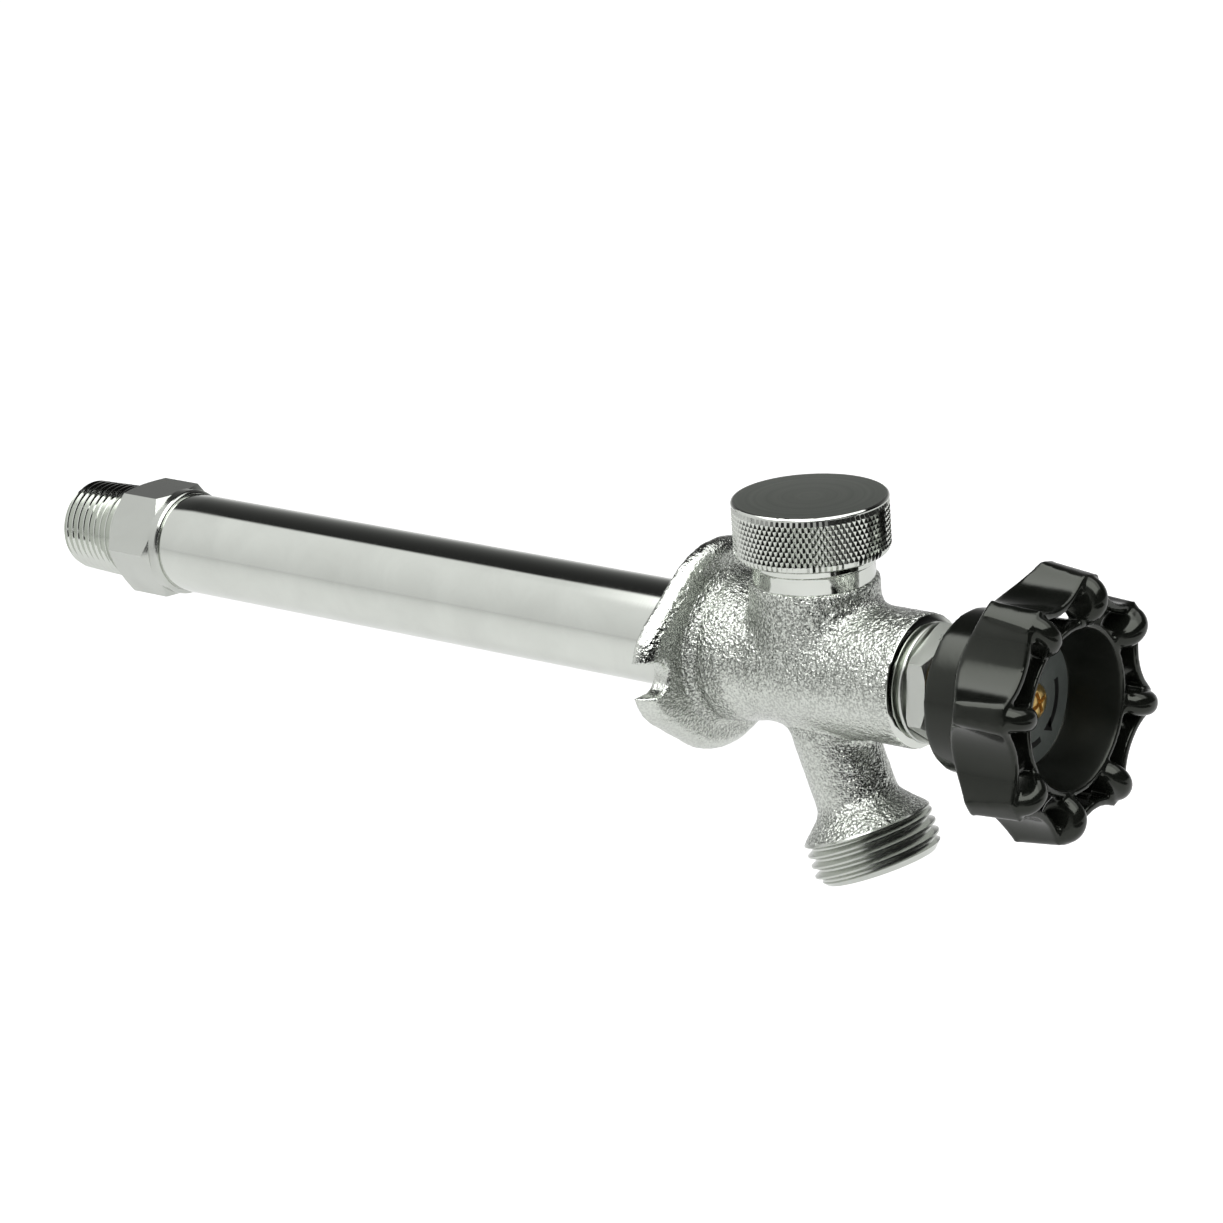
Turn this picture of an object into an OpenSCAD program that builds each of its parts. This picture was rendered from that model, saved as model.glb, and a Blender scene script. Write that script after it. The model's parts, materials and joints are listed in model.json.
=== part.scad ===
// Frost free sillcock with a wheel handle, a vacuum breaker and a hose spout.
// The origin is on the tube's axis, in the plane of the wall.
// +Y points into the wall, -Y towards the user, and +Z is up.
// A depth is a distance in front of the wall, so what lies inside the wall has a negative depth.

/* [Supply tube] */
// Outside radius of the tube
tube_r = 11.1; // [10.2:0.1:12]
// Wall of the tube
tube_wall = 1; // [0.7:0.1:1.4]
// Wall face to the shoulder of the inlet fitting
tube_len = 150; // [100:1:300]
// How far the tube reaches into the casting
socket_depth = 12; // [8:0.5:14]

/* [Wall flange] */
// Radius of the flange above and below the tube
flange_r = 22.2; // [20:0.1:26]
// Radius of the flange's side lobes
flange_tip_r = 13.4; // [11:0.1:15]
// Centre of a side lobe from the tube's axis
flange_tip_x = 15; // [13.5:0.1:20]
// Thickness of the flange
flange_t = 4; // [3:0.1:6]
// Fillet between the flange and the barrel
flange_fillet = 4.5; // [2:0.1:6]
// Width of an open screw slot
slot_w = 7; // [5:0.1:9]
// Inner end of a screw slot from the tube's axis
slot_end_x = 21; // [18.5:0.1:23]

/* [Barrel] */
// Wall of the barrel over the tube's socket
barrel_wall = 2.6; // [1.8:0.1:4]
// Wall face to the front face of the barrel
barrel_len = 53; // [52:0.5:62]
// Radius of the water chamber
chamber_r = 8.8; // [8:0.1:9]
// Bevel at the front edge of the barrel
barrel_bevel = 1.2; // [0.4:0.1:1.6]

/* [Vacuum breaker] */
// Depth of the breaker's axis
breaker_d = 26; // [24:0.5:27]
// Radius of the threaded bore in the neck
breaker_bore_r = 9.2; // [8.7:0.1:9.6]
// Width of the ledge that the guide sits on
breaker_ledge = 1.2; // [0.8:0.1:1.6]
// Thickness of the ledge over the water chamber
ledge_t = 2; // [1.5:0.1:2.4]
// Wall of the machined neck
neck_wall = 3.7; // [2.6:0.1:4.5]
// Step from the machined neck out to the cast boss
boss_step = 0.4; // [0.2:0.1:1.5]
// Height of the cast boss over the tube's axis
boss_top = 18; // [16.5:0.1:20]
// Height of the cap's lower edge
cap_bottom = 23.3; // [22.5:0.1:26]
// Height of the cap
cap_h = 11.5; // [10.6:0.1:14]
// Wall of the cap
cap_wall = 2.4; // [1.6:0.1:3.5]
// Thickness of the cap's top
cap_top_t = 2.2; // [1.5:0.1:2.6]
// Bevel of the cap's rim
cap_bevel = 0.7; // [0.3:0.1:1]
// Vent gap between the neck and the cap
vent_gap = 0.6; // [0.4:0.1:1]
// How far the neck reaches into the cap
neck_lap = 3.2; // [2.6:0.1:3.8]
// Wall of the cap's threaded boss
cap_boss_wall = 2.2; // [1.4:0.1:3]
// Radius of the bonnet's post
post_r = 5.5; // [5:0.1:7]
// Radius of the vent through the bonnet
vent_r = 3.6; // [2.5:0.1:4]
// Thickness of the bonnet's gasket
bonnet_gasket_t = 0.8; // [0.5:0.1:1.2]
// Thickness of the bonnet's flange
bonnet_flange_t = 1.7; // [1.2:0.1:2]
// Step from the bonnet's flange out to the neck
bonnet_step = 0.6; // [0.3:0.1:1]

/* [Poppet] */
// Radius of the poppet
poppet_r = 7; // [6:0.1:7.6]
// Thickness of the poppet's disc
poppet_t = 1.5; // [1:0.1:2]
// Radius of the poppet's stem
poppet_stem_r = 1.8; // [1.2:0.1:2.2]
// Thickness of the poppet's seal
poppet_seal_t = 1.2; // [0.8:0.1:1.8]
// Lift of the poppet
poppet_lift = 2.6; // [1.5:0.1:3]
// Thickness of the poppet's guide
guide_t = 2.4; // [1.8:0.1:3]
// Rim of the poppet's guide
guide_rim = 1.4; // [1:0.1:1.8]
// Width of the guide's arms
guide_arm = 1.8; // [1.2:0.1:2.4]
// Lap of the seal inside the vent's edge
seal_lap = 1; // [0.5:0.1:1.5]
// Step from the seal out to the poppet's edge
seal_step = 0.6; // [0.3:0.1:1]

/* [Spout] */
// Depth at which the spout's axis meets the tube's axis
spout_d = 23.4; // [21:0.1:25]
// Forward tilt of the spout in degrees
spout_tilt = 20.5; // [10:0.5:25]
// Radius of the spout's waterway
spout_bore_r = 6; // [5:0.1:6.5]
// Wall of the spout
spout_wall = 2.5; // [1.8:0.1:3.5]
// Length of the spout along its axis
spout_len = 44.6; // [42:0.1:60]
// Crest radius of the hose thread
hose_r = 13.45; // [13:0.05:14]
// Depth of the hose thread
hose_depth = 1.35; // [1:0.05:1.5]
// Pitch of the hose thread
hose_pitch = 2.209; // [1.8:0.001:2.4]
// Crests of the hose thread
hose_crests = 4; // [3:1:5]
// Plain lead from the last crest to the outlet
hose_lead = 2.3; // [1.3:0.1:3]
// Bevel at the outlet's end
outlet_bevel = 0.4; // [0.2:0.1:0.8]
// Radius of the outlet's mouth
mouth_r = 9.4; // [8:0.1:10.2]
// Length of the outlet's mouth
mouth_len = 7; // [4:0.1:9]

/* [Packing nut] */
// Width of the nut across its flats
nut_af = 21.8; // [20.5:0.1:24]
// Length of the nut's hexagon
nut_hex_t = 4; // [3.5:0.1:8]
// Bevel at the front of the nut's hexagon
nut_bevel = 1.2; // [0.6:0.1:1.6]
// Radius of the nut's collar
nut_collar_r = 12.2; // [11.8:0.1:13]
// Thickness of the nut's collar
nut_collar_t = 2.5; // [2:0.1:4]
// Bevel of the nut's collar
collar_bevel = 0.8; // [0.4:0.1:0.9]
// Radius of the nut's thread
nut_thread_r = 10.3; // [9.8:0.1:10.8]
// Length of the nut's thread
nut_thread_len = 5.2; // [4:0.1:6]
// Radius of the packing
packing_r = 7.5; // [6:0.1:8.2]
// Length of the packing ring
packing_len = 7; // [4.5:0.1:8]
// Thickness of the packing washer
packing_washer_t = 1; // [0.6:0.1:1.5]

/* [Stem] */
// Radius of the stem in the packing
stem_r = 4; // [3.6:0.1:4.6]
// Crest radius of the operating screw
screw_r = 6.5; // [6:0.1:7.2]
// Depth of the operating screw's thread
screw_depth = 0.9; // [0.6:0.05:1]
// Length of the operating screw
screw_len = 16; // [12:0.5:18]
// Advance of the stem for each turn
screw_lead = 2.1; // [1.6:0.1:2.4]
// Turns of the handle from shut to open
open_turns = 2.5; // [1.5:0.25:3]
// Radius of the long rod
rod_r = 3.2; // [2.6:0.1:3.5]
// Depth of the rod's socket in the stem
rod_socket = 9; // [6:0.5:12]
// Wall of the stem around the rod's socket
socket_wall = 1.6; // [1.2:0.1:1.8]
// Length of the stem behind its screw
stem_tail = 4; // [3:0.1:6]
// Thickness of the bush's gasket
bush_gasket_t = 1; // [0.6:0.1:1.5]
// Wall face to the rod's guide, into the wall
rod_guide_at = 66; // [40:1:80]
// Length of the rod's guide
rod_guide_len = 8; // [5:0.5:12]
// Rim of the rod's guide
rod_guide_rim = 1.2; // [0.8:0.1:1.6]
// Width of the rod guide's arms
rod_guide_arm = 2.4; // [1.6:0.1:3]
// Wall of a guide's hub
guide_hub = 1.6; // [1.2:0.1:2]

/* [Seat] */
// Length of the inlet's spigot inside the tube
spigot_len = 9; // [6:0.5:14]
// Radius of the seat's waterway
seat_bore_r = 5.2; // [4.6:0.1:5.8]
// Width of the seat's lip
seat_lip_w = 1.2; // [0.8:0.1:1.8]
// Height of the seat's lip
seat_lip_h = 0.8; // [0.4:0.1:1.2]
// Radius of the seat washer
washer_r = 7.8; // [7.2:0.1:8]
// Thickness of the seat washer
washer_t = 3.4; // [2.5:0.1:5]
// Wall of the washer holder's rim
holder_rim = 0.9; // [0.6:0.1:1.1]
// Solid plate of the washer holder
holder_plate = 5; // [4:0.1:8]
// Lip of the holder behind the snap ring
holder_lip = 1.5; // [1:0.1:2.5]
// Depth of the snap ring's groove
groove_depth = 0.7; // [0.4:0.1:1]
// Solid left under the washer screw's hole
holder_floor = 0.8; // [0.5:0.1:1.2]
// Thickness of the holder's fins
fin_t = 2; // [1.2:0.1:3]
// Radius of the rod's collar
collar_r = 4.5; // [4.2:0.1:5]
// Thickness of the rod's collar
collar_t = 3; // [2:0.1:5]
// Thickness of the snap ring
clip_t = 1; // [0.6:0.1:1.4]
// Width of the washer screw's driver slot
driver_slot = 1; // [0.6:0.1:1.4]
// Radius of the washer screw's head
washer_screw_head_r = 3.4; // [2.8:0.1:3.9]
// Height of the washer screw's head
washer_screw_head_t = 2.2; // [1.5:0.1:3]

/* [Inlet] */
// Width of the inlet's hexagon across its flats
inlet_af = 23.2; // [22.9:0.1:27]
// Length of the inlet's hexagon
inlet_hex_len = 15; // [11:0.5:20]
// Bevel at both ends of the hexagon
inlet_bevel = 2.4; // [1.2:0.1:3]
// Crest radius of the pipe thread at its large end
pipe_r = 10.67; // [10.5:0.01:10.9]
// Depth of the pipe thread
pipe_depth = 1.3; // [0.8:0.05:1.4]
// Pitch of the pipe thread
pipe_pitch = 1.814; // [1.5:0.001:2]
// Crests of the pipe thread
pipe_crests = 9; // [6:1:10]
// Relief between the hexagon and the thread
pipe_relief = 0.8; // [0.4:0.1:1.4]
// Plain end behind the last crest
pipe_lead = 0.5; // [0.3:0.1:2]
// Taper of the pipe thread on its radius, for each millimetre
pipe_taper = 0.03125; // [0.01:0.00125:0.04]
// Radius of the solder cup
cup_r = 7.98; // [7.5:0.01:8.05]
// Depth of the solder cup
cup_depth = 12.7; // [10:0.1:14]

/* [Handle] */
// Gap between the nut and the handle's skirt when the valve is shut
skirt_gap = 3.5; // [1.5:0.1:5]
// Radius of the skirt at its back edge
skirt_r = 16.5; // [15.5:0.1:17.5]
// Radius of the cup at its rim
cup_rim_r = 17.5; // [17:0.1:18.5]
// Back edge of the skirt to the rim of the cup
handle_len = 25.5; // [24:0.5:30]
// Wall of the skirt and the cup
handle_wall = 1.8; // [1.4:0.1:2.2]
// Depth of the cup
cup_floor = 12.2; // [10:0.1:14]
// Radius of the cup at its floor
cup_floor_r = 13.6; // [12.5:0.1:14.5]
// Thickness of the cup's floor
floor_t = 2.5; // [2:0.1:3]
// Radius of the hub behind the floor
hub_r = 6.5; // [6:0.1:8]
// Length of the hub
hub_len = 6.5; // [4:0.1:7]
// Lobes of the wheel
lobes = 8; // [6:1:9]
// Turn of the first lobe from the top, clockwise from the front
lobe_turn = 13.4; // [0:0.1:45]
// Radius over the lobes
lobe_r = 27.7; // [26.5:0.1:30]
// How much smaller the lobes are at their front edge
lobe_taper = 1.2; // [0:0.1:1.6]
// Radius at the valleys between lobes
valley_r = 22.6; // [22:0.1:23.5]
// Radius of the hollow between two lobes
bite_r = 12; // [11:0.1:14]
// Wall of the wheel's rim
rim_t = 2.1; // [1.8:0.1:2.8]
// Length of the rim at a lobe
rim_len = 10.5; // [8:0.1:13]
// Slope of the rim's back edge, as depth for each millimetre of radius
rim_slope = 1.05; // [0.8:0.05:1.3]
// Hollow of the rim's back edge
rim_hollow = 1.8; // [0:0.1:2.4]
// Place of that hollow, as a share of the way from the skirt to the lobes
rim_knee = 0.4; // [0.3:0.05:0.5]
// How far the rim stands in front of the cup
rim_proud = -0.5; // [-1.5:0.1:2]
// Thickness of a finger between the cup and a lobe
finger_t = 5.5; // [4.5:0.1:6]
// Rounding of a finger's edges
finger_edge = 2; // [1:0.1:2.2]
// How far a finger goes into the cup's wall
finger_root = 0.8; // [0.5:0.1:1.2]
// How far a finger's end stays inside the lobe's front edge
finger_inset = 0.2; // [0.1:0.05:0.4]
// How far a finger stands in front of the rim
finger_proud = 3.8; // [1:0.1:5]
// Thickness of the index plate
plate_t = 0.6; // [0.4:0.1:1]
// Radius of the handle screw's head
screw_head_r = 3.8; // [3.4:0.1:5]
// Height of the handle screw's head
screw_head_t = 2.2; // [1.2:0.1:2.6]
// Radius of the handle screw's shank
shank_r = 2.1; // [1.6:0.1:2.3]
// Length of the handle screw's shank
shank_len = 12; // [8:0.5:14]
// Width of the handle screw's cross recess
recess_w = 1; // [0.6:0.1:1.4]

/* [Clearances] */
// Gap of a soldered, screwed or pressed joint
fixed_gap = 0.05; // [0.03:0.01:0.08]
// Gap of a shaft that turns or slides in its bore
run_gap = 0.08; // [0.05:0.01:0.1]
// Gap between faces that come to rest on each other
face_gap = 0.1; // [0.05:0.01:0.2]
// Gap between a moving piece and the wall beside it
side_gap = 0.3; // [0.25:0.05:0.5]

/* [Hidden] */
$fn = 72;
cut = 1;

// Casting
barrel_r = tube_r + barrel_wall;
tube_bore_r = tube_r - tube_wall;
neck_r = breaker_bore_r + neck_wall;
boss_r = neck_r + boss_step;
port_r = breaker_bore_r - breaker_ledge;
ledge_z = chamber_r + ledge_t;
front_bore_r = nut_thread_r + fixed_gap;
shoulder_d = breaker_d + port_r + 0.6;
spout_r = spout_bore_r + spout_wall;
hose_root_r = hose_r - hose_depth;
hose_flat = hose_pitch / 6;
hose_start = spout_len - hose_lead - hose_pitch * (hose_crests - 1);
flare_len = hose_r - spout_r;

// Vacuum breaker, heights over the tube's axis
guide_top = ledge_z + guide_t;
poppet_z = guide_top + face_gap;
seal_z = poppet_z + poppet_t;
bonnet_z = seal_z + poppet_seal_t + poppet_lift + face_gap;
neck_top = cap_bottom + neck_lap;
bonnet_flange_z = neck_top + bonnet_gasket_t;
post_z = bonnet_flange_z + bonnet_flange_t;
cap_top = cap_bottom + cap_h;
cap_inner_top = cap_top - cap_top_t;
cap_r = neck_r + vent_gap + cap_wall;
cap_bore_r = neck_r + vent_gap;
bonnet_flange_r = neck_r - bonnet_step;
cap_boss_r = post_r + cap_boss_wall;

// Packing and stem, depths in front of the wall
stem_travel = screw_lead * open_turns;
bush_d0 = shoulder_d + bush_gasket_t;
nut_back = barrel_len - nut_thread_len;
bush_d1 = nut_back - face_gap;
packing_d0 = nut_back + packing_washer_t;
packing_d1 = packing_d0 + packing_len;
nut_hex_d = barrel_len + nut_collar_t;
nut_front = nut_hex_d + nut_hex_t;
screw_d1 = bush_d1 - stem_travel - face_gap;
screw_d0 = screw_d1 - screw_len;
stem_back = screw_d0 - stem_tail;
stem_neck_r = rod_r + socket_wall;
square_w = stem_r * 1.4;

// Handle, depths in front of the wall
skirt_d = nut_front + skirt_gap;
rim_cup_d = skirt_d + handle_len;
floor_d = rim_cup_d - cup_floor;
floor_back = floor_d - floor_t;
hub_back = floor_back - hub_len;
rim_front = rim_cup_d + rim_proud;
rim_back = rim_front - rim_len;
finger_in = cup_rim_r - finger_root;
finger_out = lobe_r - lobe_taper - finger_inset;
finger_r = (finger_out - finger_in) / 2;
finger_at = (finger_out + finger_in) / 2;
finger_d = rim_front + finger_proud - finger_r;
plate_front = floor_d + plate_t;
square_end = floor_d - floor_t / 2;
stem_front_d = square_end - face_gap;
plate_r = cup_floor_r - side_gap;

// Seat, distances into the wall
seat_y = tube_len - spigot_len;
washer_y1 = seat_y - face_gap / 2;
washer_y0 = washer_y1 - washer_t;
plate_y0 = washer_y0 - holder_plate;
collar_y1 = plate_y0 - face_gap;
collar_y0 = collar_y1 - collar_t;
clip_y1 = collar_y0 - side_gap;
clip_y0 = clip_y1 - clip_t;
holder_y0 = clip_y0 - holder_lip;
holder_r = washer_r + fixed_gap + holder_rim;
holder_bore_r = collar_r + run_gap;
clip_groove_r = holder_bore_r + groove_depth;
washer_screw_r = washer_screw_head_r * 0.6;
fin_r = tube_bore_r - side_gap;

// Inlet, distances into the wall
hex_y1 = tube_len + inlet_hex_len;
pipe_end_y = hex_y1 + pipe_relief + pipe_pitch * pipe_crests + pipe_lead;

// Solid of revolution about the tube's axis, from points of radius and depth
module turned(points) {
    rotate([90, 0, 0]) rotate_extrude() polygon(points);
}

// The same, from points of radius and distance into the wall
module turned_in(points) {
    turned([for (p = points) [p[0], -p[1]]]);
}

// Round bar about the tube's axis between two depths
module bar(r, d0, d1) {
    translate([0, -d0, 0]) rotate([90, 0, 0]) cylinder(r = r, h = d1 - d0);
}

// Ring about the tube's axis between two depths
module ring(r_in, r_out, d0, d1) {
    turned([[r_in, d0], [r_out, d0], [r_out, d1], [r_in, d1]]);
}

// Outline drawn as seen from the front, extruded between two depths
module front_slab(d0, d1) {
    translate([0, -d0, 0]) rotate([90, 0, 0]) linear_extrude(d1 - d0) children();
}

// Hexagon bar with bevelled corners, about the tube's axis
module hex_bar(af, d0, d1, bevel, turn) {
    corner_r = af / 2 / cos(30);
    intersection() {
        translate([0, -d0, 0]) rotate([90, turn, 0]) cylinder(r = corner_r, h = d1 - d0, $fn = 6);
        turned([
            [0, d0], [corner_r - bevel, d0], [corner_r, d0 + bevel],
            [corner_r, d1 - bevel], [corner_r - bevel, d1], [0, d1]
        ]);
    }
}

// Points of a row of thread crests: radius at the crest, then along the axis
function crests(r, depth, pitch, count, flat, taper, start) = [
    for (i = [0 : count - 1])
        let (s = start + i * pitch, top = r - taper * i * pitch, half = pitch / 2 - flat / 2)
            each [[top - depth, s - half], [top, s - flat / 2], [top, s + flat / 2], [top - depth, s + half]]
];

// Places children on the vacuum breaker's upright axis
module on_breaker() {
    translate([0, -breaker_d, 0]) children();
}

// Ring on the vacuum breaker's axis between two heights
module breaker_ring(r_in, r_out, z0, z1) {
    on_breaker() rotate_extrude() polygon([[r_in, z0], [r_out, z0], [r_out, z1], [r_in, z1]]);
}

// Places children on the spout's axis, with +Z towards the outlet
module on_spout() {
    translate([0, -spout_d, 0]) rotate([180 - spout_tilt, 0, 0]) children();
}

// Spider: a ring and a hub joined by three arms
module spider(r_out, r_hole, rim, arm_w) {
    hub = r_hole + guide_hub;
    difference() {
        circle(r = r_out);
        circle(r = r_out - rim);
    }
    difference() {
        union() {
            circle(r = hub);
            for (i = [0 : 2]) rotate(i * 120) translate([0, -arm_w / 2]) square([r_out - rim / 2, arm_w]);
        }
        circle(r = r_hole);
    }
}

// Outline of the wall flange: a middle circle and two side circles with their tangents
module flange_outline() {
    lean = asin((flange_r - flange_tip_r) / flange_tip_x);
    middle = flange_r * [sin(lean), cos(lean)];
    tip = [flange_tip_x, 0] + flange_tip_r * [sin(lean), cos(lean)];
    circle(r = flange_r);
    for (side = [-1, 1]) translate([side * flange_tip_x, 0]) circle(r = flange_tip_r);
    polygon([
        middle, tip, [tip[0], -tip[1]], [middle[0], -middle[1]],
        [-middle[0], -middle[1]], [-tip[0], -tip[1]], [-tip[0], tip[1]], [-middle[0], middle[1]]
    ]);
}

// Flange with its open screw slots
module flange() {
    reach = flange_tip_x + flange_tip_r;
    front_slab(0, flange_t) difference() {
        flange_outline();
        for (side = [-1, 1]) {
            slot_x = slot_end_x + slot_w / 2;
            translate([side * slot_x, 0]) circle(d = slot_w);
            translate([side * (slot_x + reach / 2), 0]) square([reach, slot_w], center = true);
        }
    }
}

// Barrel with the fillet behind it and the bevel in front
module barrel() {
    fillet = min(flange_fillet, slot_end_x - barrel_r - side_gap);
    turned([
        [0, 0], [barrel_r, 0], [barrel_r, barrel_len - barrel_bevel],
        [barrel_r - barrel_bevel, barrel_len], [0, barrel_len]
    ]);
    rotate([90, 0, 0]) rotate_extrude() difference() {
        translate([barrel_r - cut, flange_t - cut]) square(fillet + cut);
        translate([barrel_r + fillet, flange_t + fillet]) circle(r = fillet);
    }
}

// Boss and machined neck of the vacuum breaker
module breaker_neck() {
    on_breaker() rotate_extrude() polygon([
        [0, 0], [boss_r, 0], [boss_r, boss_top - boss_step], [neck_r, boss_top],
        [neck_r, neck_top], [0, neck_top]
    ]);
}

// Spout with its flared collar and the ring crests of the hose thread
module spout() {
    flare_end = hose_start - hose_flat / 2;
    thread = crests(hose_r, hose_depth, hose_pitch, hose_crests, hose_flat, 0, hose_start);
    on_spout() rotate_extrude() polygon(concat(
        [[0, 0], [spout_r, 0], [spout_r, flare_end - flare_len], [hose_r, flare_end]],
        [for (i = [2 : len(thread) - 1]) thread[i]],
        [[hose_root_r - outlet_bevel, spout_len], [0, spout_len]]
    ));
}

module body_casting() {
    color("silver") difference() {
        union() {
            flange();
            barrel();
            breaker_neck();
            spout();
        }
        bar(tube_r + fixed_gap, -cut, socket_depth);
        bar(chamber_r, socket_depth - cut, shoulder_d + cut);
        bar(front_bore_r, shoulder_d, barrel_len + cut);
        on_breaker() cylinder(r = port_r, h = ledge_z + cut);
        on_breaker() translate([0, 0, ledge_z]) cylinder(r = breaker_bore_r, h = neck_top);
        on_spout() cylinder(r = spout_bore_r, h = spout_len);
        on_spout() translate([0, 0, spout_len - mouth_len]) cylinder(r = mouth_r, h = mouth_len + cut);
    }
}

module supply_tube() {
    color("gainsboro") ring(tube_bore_r, tube_r, -tube_len, socket_depth - face_gap);
}

// Spigot, seat lip and pipe thread as one turned profile, with the hexagon around it
module inlet_fitting() {
    spigot_r = tube_bore_r - fixed_gap;
    pipe_y = hex_y1 + pipe_relief + pipe_pitch / 2;
    thread = crests(pipe_r, pipe_depth, pipe_pitch, pipe_crests, pipe_pitch / 8, pipe_taper, pipe_y);
    last = thread[len(thread) - 1];
    color("silver") difference() {
        union() {
            turned_in(concat(
                [[0, seat_y], [seat_bore_r + seat_lip_w, seat_y]],
                [[seat_bore_r + seat_lip_w, seat_y + seat_lip_h], [spigot_r, seat_y + seat_lip_h]],
                [[spigot_r, tube_len + cut], [thread[0][0], hex_y1 - cut]],
                thread,
                [[last[0], pipe_end_y], [0, pipe_end_y]]
            ));
            hex_bar(inlet_af, -hex_y1, -tube_len, inlet_bevel, 0);
        }
        bar(seat_bore_r, -pipe_end_y - cut, -seat_y + cut);
        bar(cup_r, -pipe_end_y - cut, -pipe_end_y + cup_depth);
    }
}

module stem_guide() {
    color("ivory") front_slab(-rod_guide_at - rod_guide_len, -rod_guide_at)
        spider(tube_bore_r - fixed_gap, rod_r + run_gap, rod_guide_rim, rod_guide_arm);
}

module breaker_guide() {
    color("ivory") on_breaker() translate([0, 0, ledge_z]) linear_extrude(guide_t)
        spider(breaker_bore_r - fixed_gap, poppet_stem_r + run_gap, guide_rim, guide_arm);
}

module poppet() {
    stem_z = ledge_z - poppet_lift;
    color("ivory") on_breaker() {
        translate([0, 0, poppet_z]) cylinder(r = poppet_r, h = poppet_t);
        translate([0, 0, stem_z]) cylinder(r = poppet_stem_r, h = poppet_z - stem_z + poppet_t / 2);
    }
}

module poppet_seal() {
    color("dimgray") breaker_ring(vent_r - seal_lap, poppet_r - seal_step, seal_z, seal_z + poppet_seal_t);
}

module bonnet_gasket() {
    color("dimgray") breaker_ring(breaker_bore_r + 0.2, bonnet_flange_r, neck_top, bonnet_flange_z);
}

// Vent seat with a threaded post for the cap and cross holes that vent under it
module breaker_bonnet() {
    screwed_r = breaker_bore_r - fixed_gap;
    post_top = cap_inner_top - face_gap;
    vent_hole_r = (post_top - post_z) / 5;
    color("goldenrod") difference() {
        on_breaker() rotate_extrude() polygon([
            [0, bonnet_z], [screwed_r, bonnet_z], [screwed_r, bonnet_flange_z],
            [bonnet_flange_r, bonnet_flange_z], [bonnet_flange_r, post_z], [post_r, post_z],
            [post_r, post_top], [0, post_top]
        ]);
        on_breaker() translate([0, 0, bonnet_z - cut]) cylinder(r = vent_r, h = post_top - bonnet_z);
        for (turn = [0, 90]) on_breaker() translate([0, 0, post_z + 1.4 * vent_hole_r])
            rotate([90, 0, turn]) cylinder(r = vent_hole_r, h = 3 * post_r, center = true);
    }
}

// Cap with a bevelled rim, an open skirt and a threaded boss that takes the bonnet's post
module breaker_cap() {
    boss_z = cap_inner_top - (cap_inner_top - post_z) / 2;
    color("lightgray") {
        on_breaker() rotate_extrude() polygon([
            [0, cap_inner_top], [cap_bore_r, cap_inner_top], [cap_bore_r, cap_bottom],
            [cap_r - cap_bevel, cap_bottom], [cap_r, cap_bottom + cap_bevel],
            [cap_r, cap_top - cap_bevel], [cap_r - cap_bevel, cap_top], [0, cap_top]
        ]);
        breaker_ring(post_r + fixed_gap, cap_boss_r, boss_z, cap_inner_top + cut);
    }
}

module bush_gasket() {
    color("dimgray") ring(chamber_r + 0.2, front_bore_r - fixed_gap, shoulder_d, bush_d0);
}

module thread_bush() {
    color("goldenrod") ring(screw_r + run_gap, front_bore_r - fixed_gap, bush_d0, bush_d1);
}

module packing_washer() {
    color("goldenrod") ring(stem_r + side_gap, packing_r - fixed_gap, nut_back, packing_d0);
}

module packing_ring() {
    color("dimgray") ring(stem_r + run_gap, packing_r - fixed_gap, packing_d0, packing_d1);
}

module packing_nut() {
    collar_edge_r = nut_collar_r - collar_bevel;
    color("silver") difference() {
        union() {
            bar(nut_thread_r, nut_back, barrel_len + cut);
            turned([
                [0, barrel_len], [collar_edge_r, barrel_len], [nut_collar_r, barrel_len + collar_bevel],
                [nut_collar_r, nut_hex_d - collar_bevel], [collar_edge_r, nut_hex_d], [0, nut_hex_d]
            ]);
            hex_bar(nut_af, nut_hex_d - cut, nut_front, nut_bevel, 30);
        }
        bar(packing_r, nut_back - cut, packing_d1);
        bar(stem_r + side_gap, nut_back, nut_front + cut);
    }
}

// Swivel holder: a blind bore for the rod's collar, a groove for its clip and a cup for the washer
module washer_holder() {
    rim_y = washer_y1 - washer_t * 0.4;
    color("goldenrod") difference() {
        union() {
            bar(holder_r, -rim_y, -holder_y0);
            for (turn = [0, 90]) rotate([0, turn, 0]) intersection() {
                bar(fin_r, -washer_y0, -holder_y0);
                translate([-fin_r, holder_y0 - cut, -fin_t / 2])
                    cube([2 * fin_r, washer_y0 - holder_y0 + 2 * cut, fin_t]);
            }
        }
        bar(holder_bore_r, -plate_y0, -holder_y0 + cut);
        bar(clip_groove_r, -clip_y1 - fixed_gap, -clip_y0 + fixed_gap);
        bar(washer_r + fixed_gap, -rim_y - cut, -washer_y0);
        bar(washer_screw_r + fixed_gap, -washer_y0 - cut, -plate_y0 - holder_floor);
    }
}

module holder_clip() {
    color("lightgray") ring(rod_r + side_gap, clip_groove_r - fixed_gap, -clip_y1, -clip_y0);
}

module seat_washer() {
    color("dimgray") ring(washer_screw_r + fixed_gap, washer_r, -washer_y1, -washer_y0);
}

// Screw with a round head and a straight driver slot
module washer_screw() {
    color("goldenrod") difference() {
        union() {
            bar(washer_screw_head_r, -washer_y1 - washer_screw_head_t, -washer_y1);
            bar(washer_screw_r, -washer_y1 - cut, -plate_y0 - holder_floor - face_gap);
        }
        translate([-washer_screw_head_r, washer_y1 + washer_screw_head_t / 2, -driver_slot / 2])
            cube([2 * washer_screw_head_r, washer_screw_head_t, driver_slot]);
    }
}

module stem_rod() {
    color("peru") {
        bar(rod_r, -collar_y0 - cut, stem_back + rod_socket - face_gap);
        bar(collar_r, -collar_y1, -collar_y0);
    }
}

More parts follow.
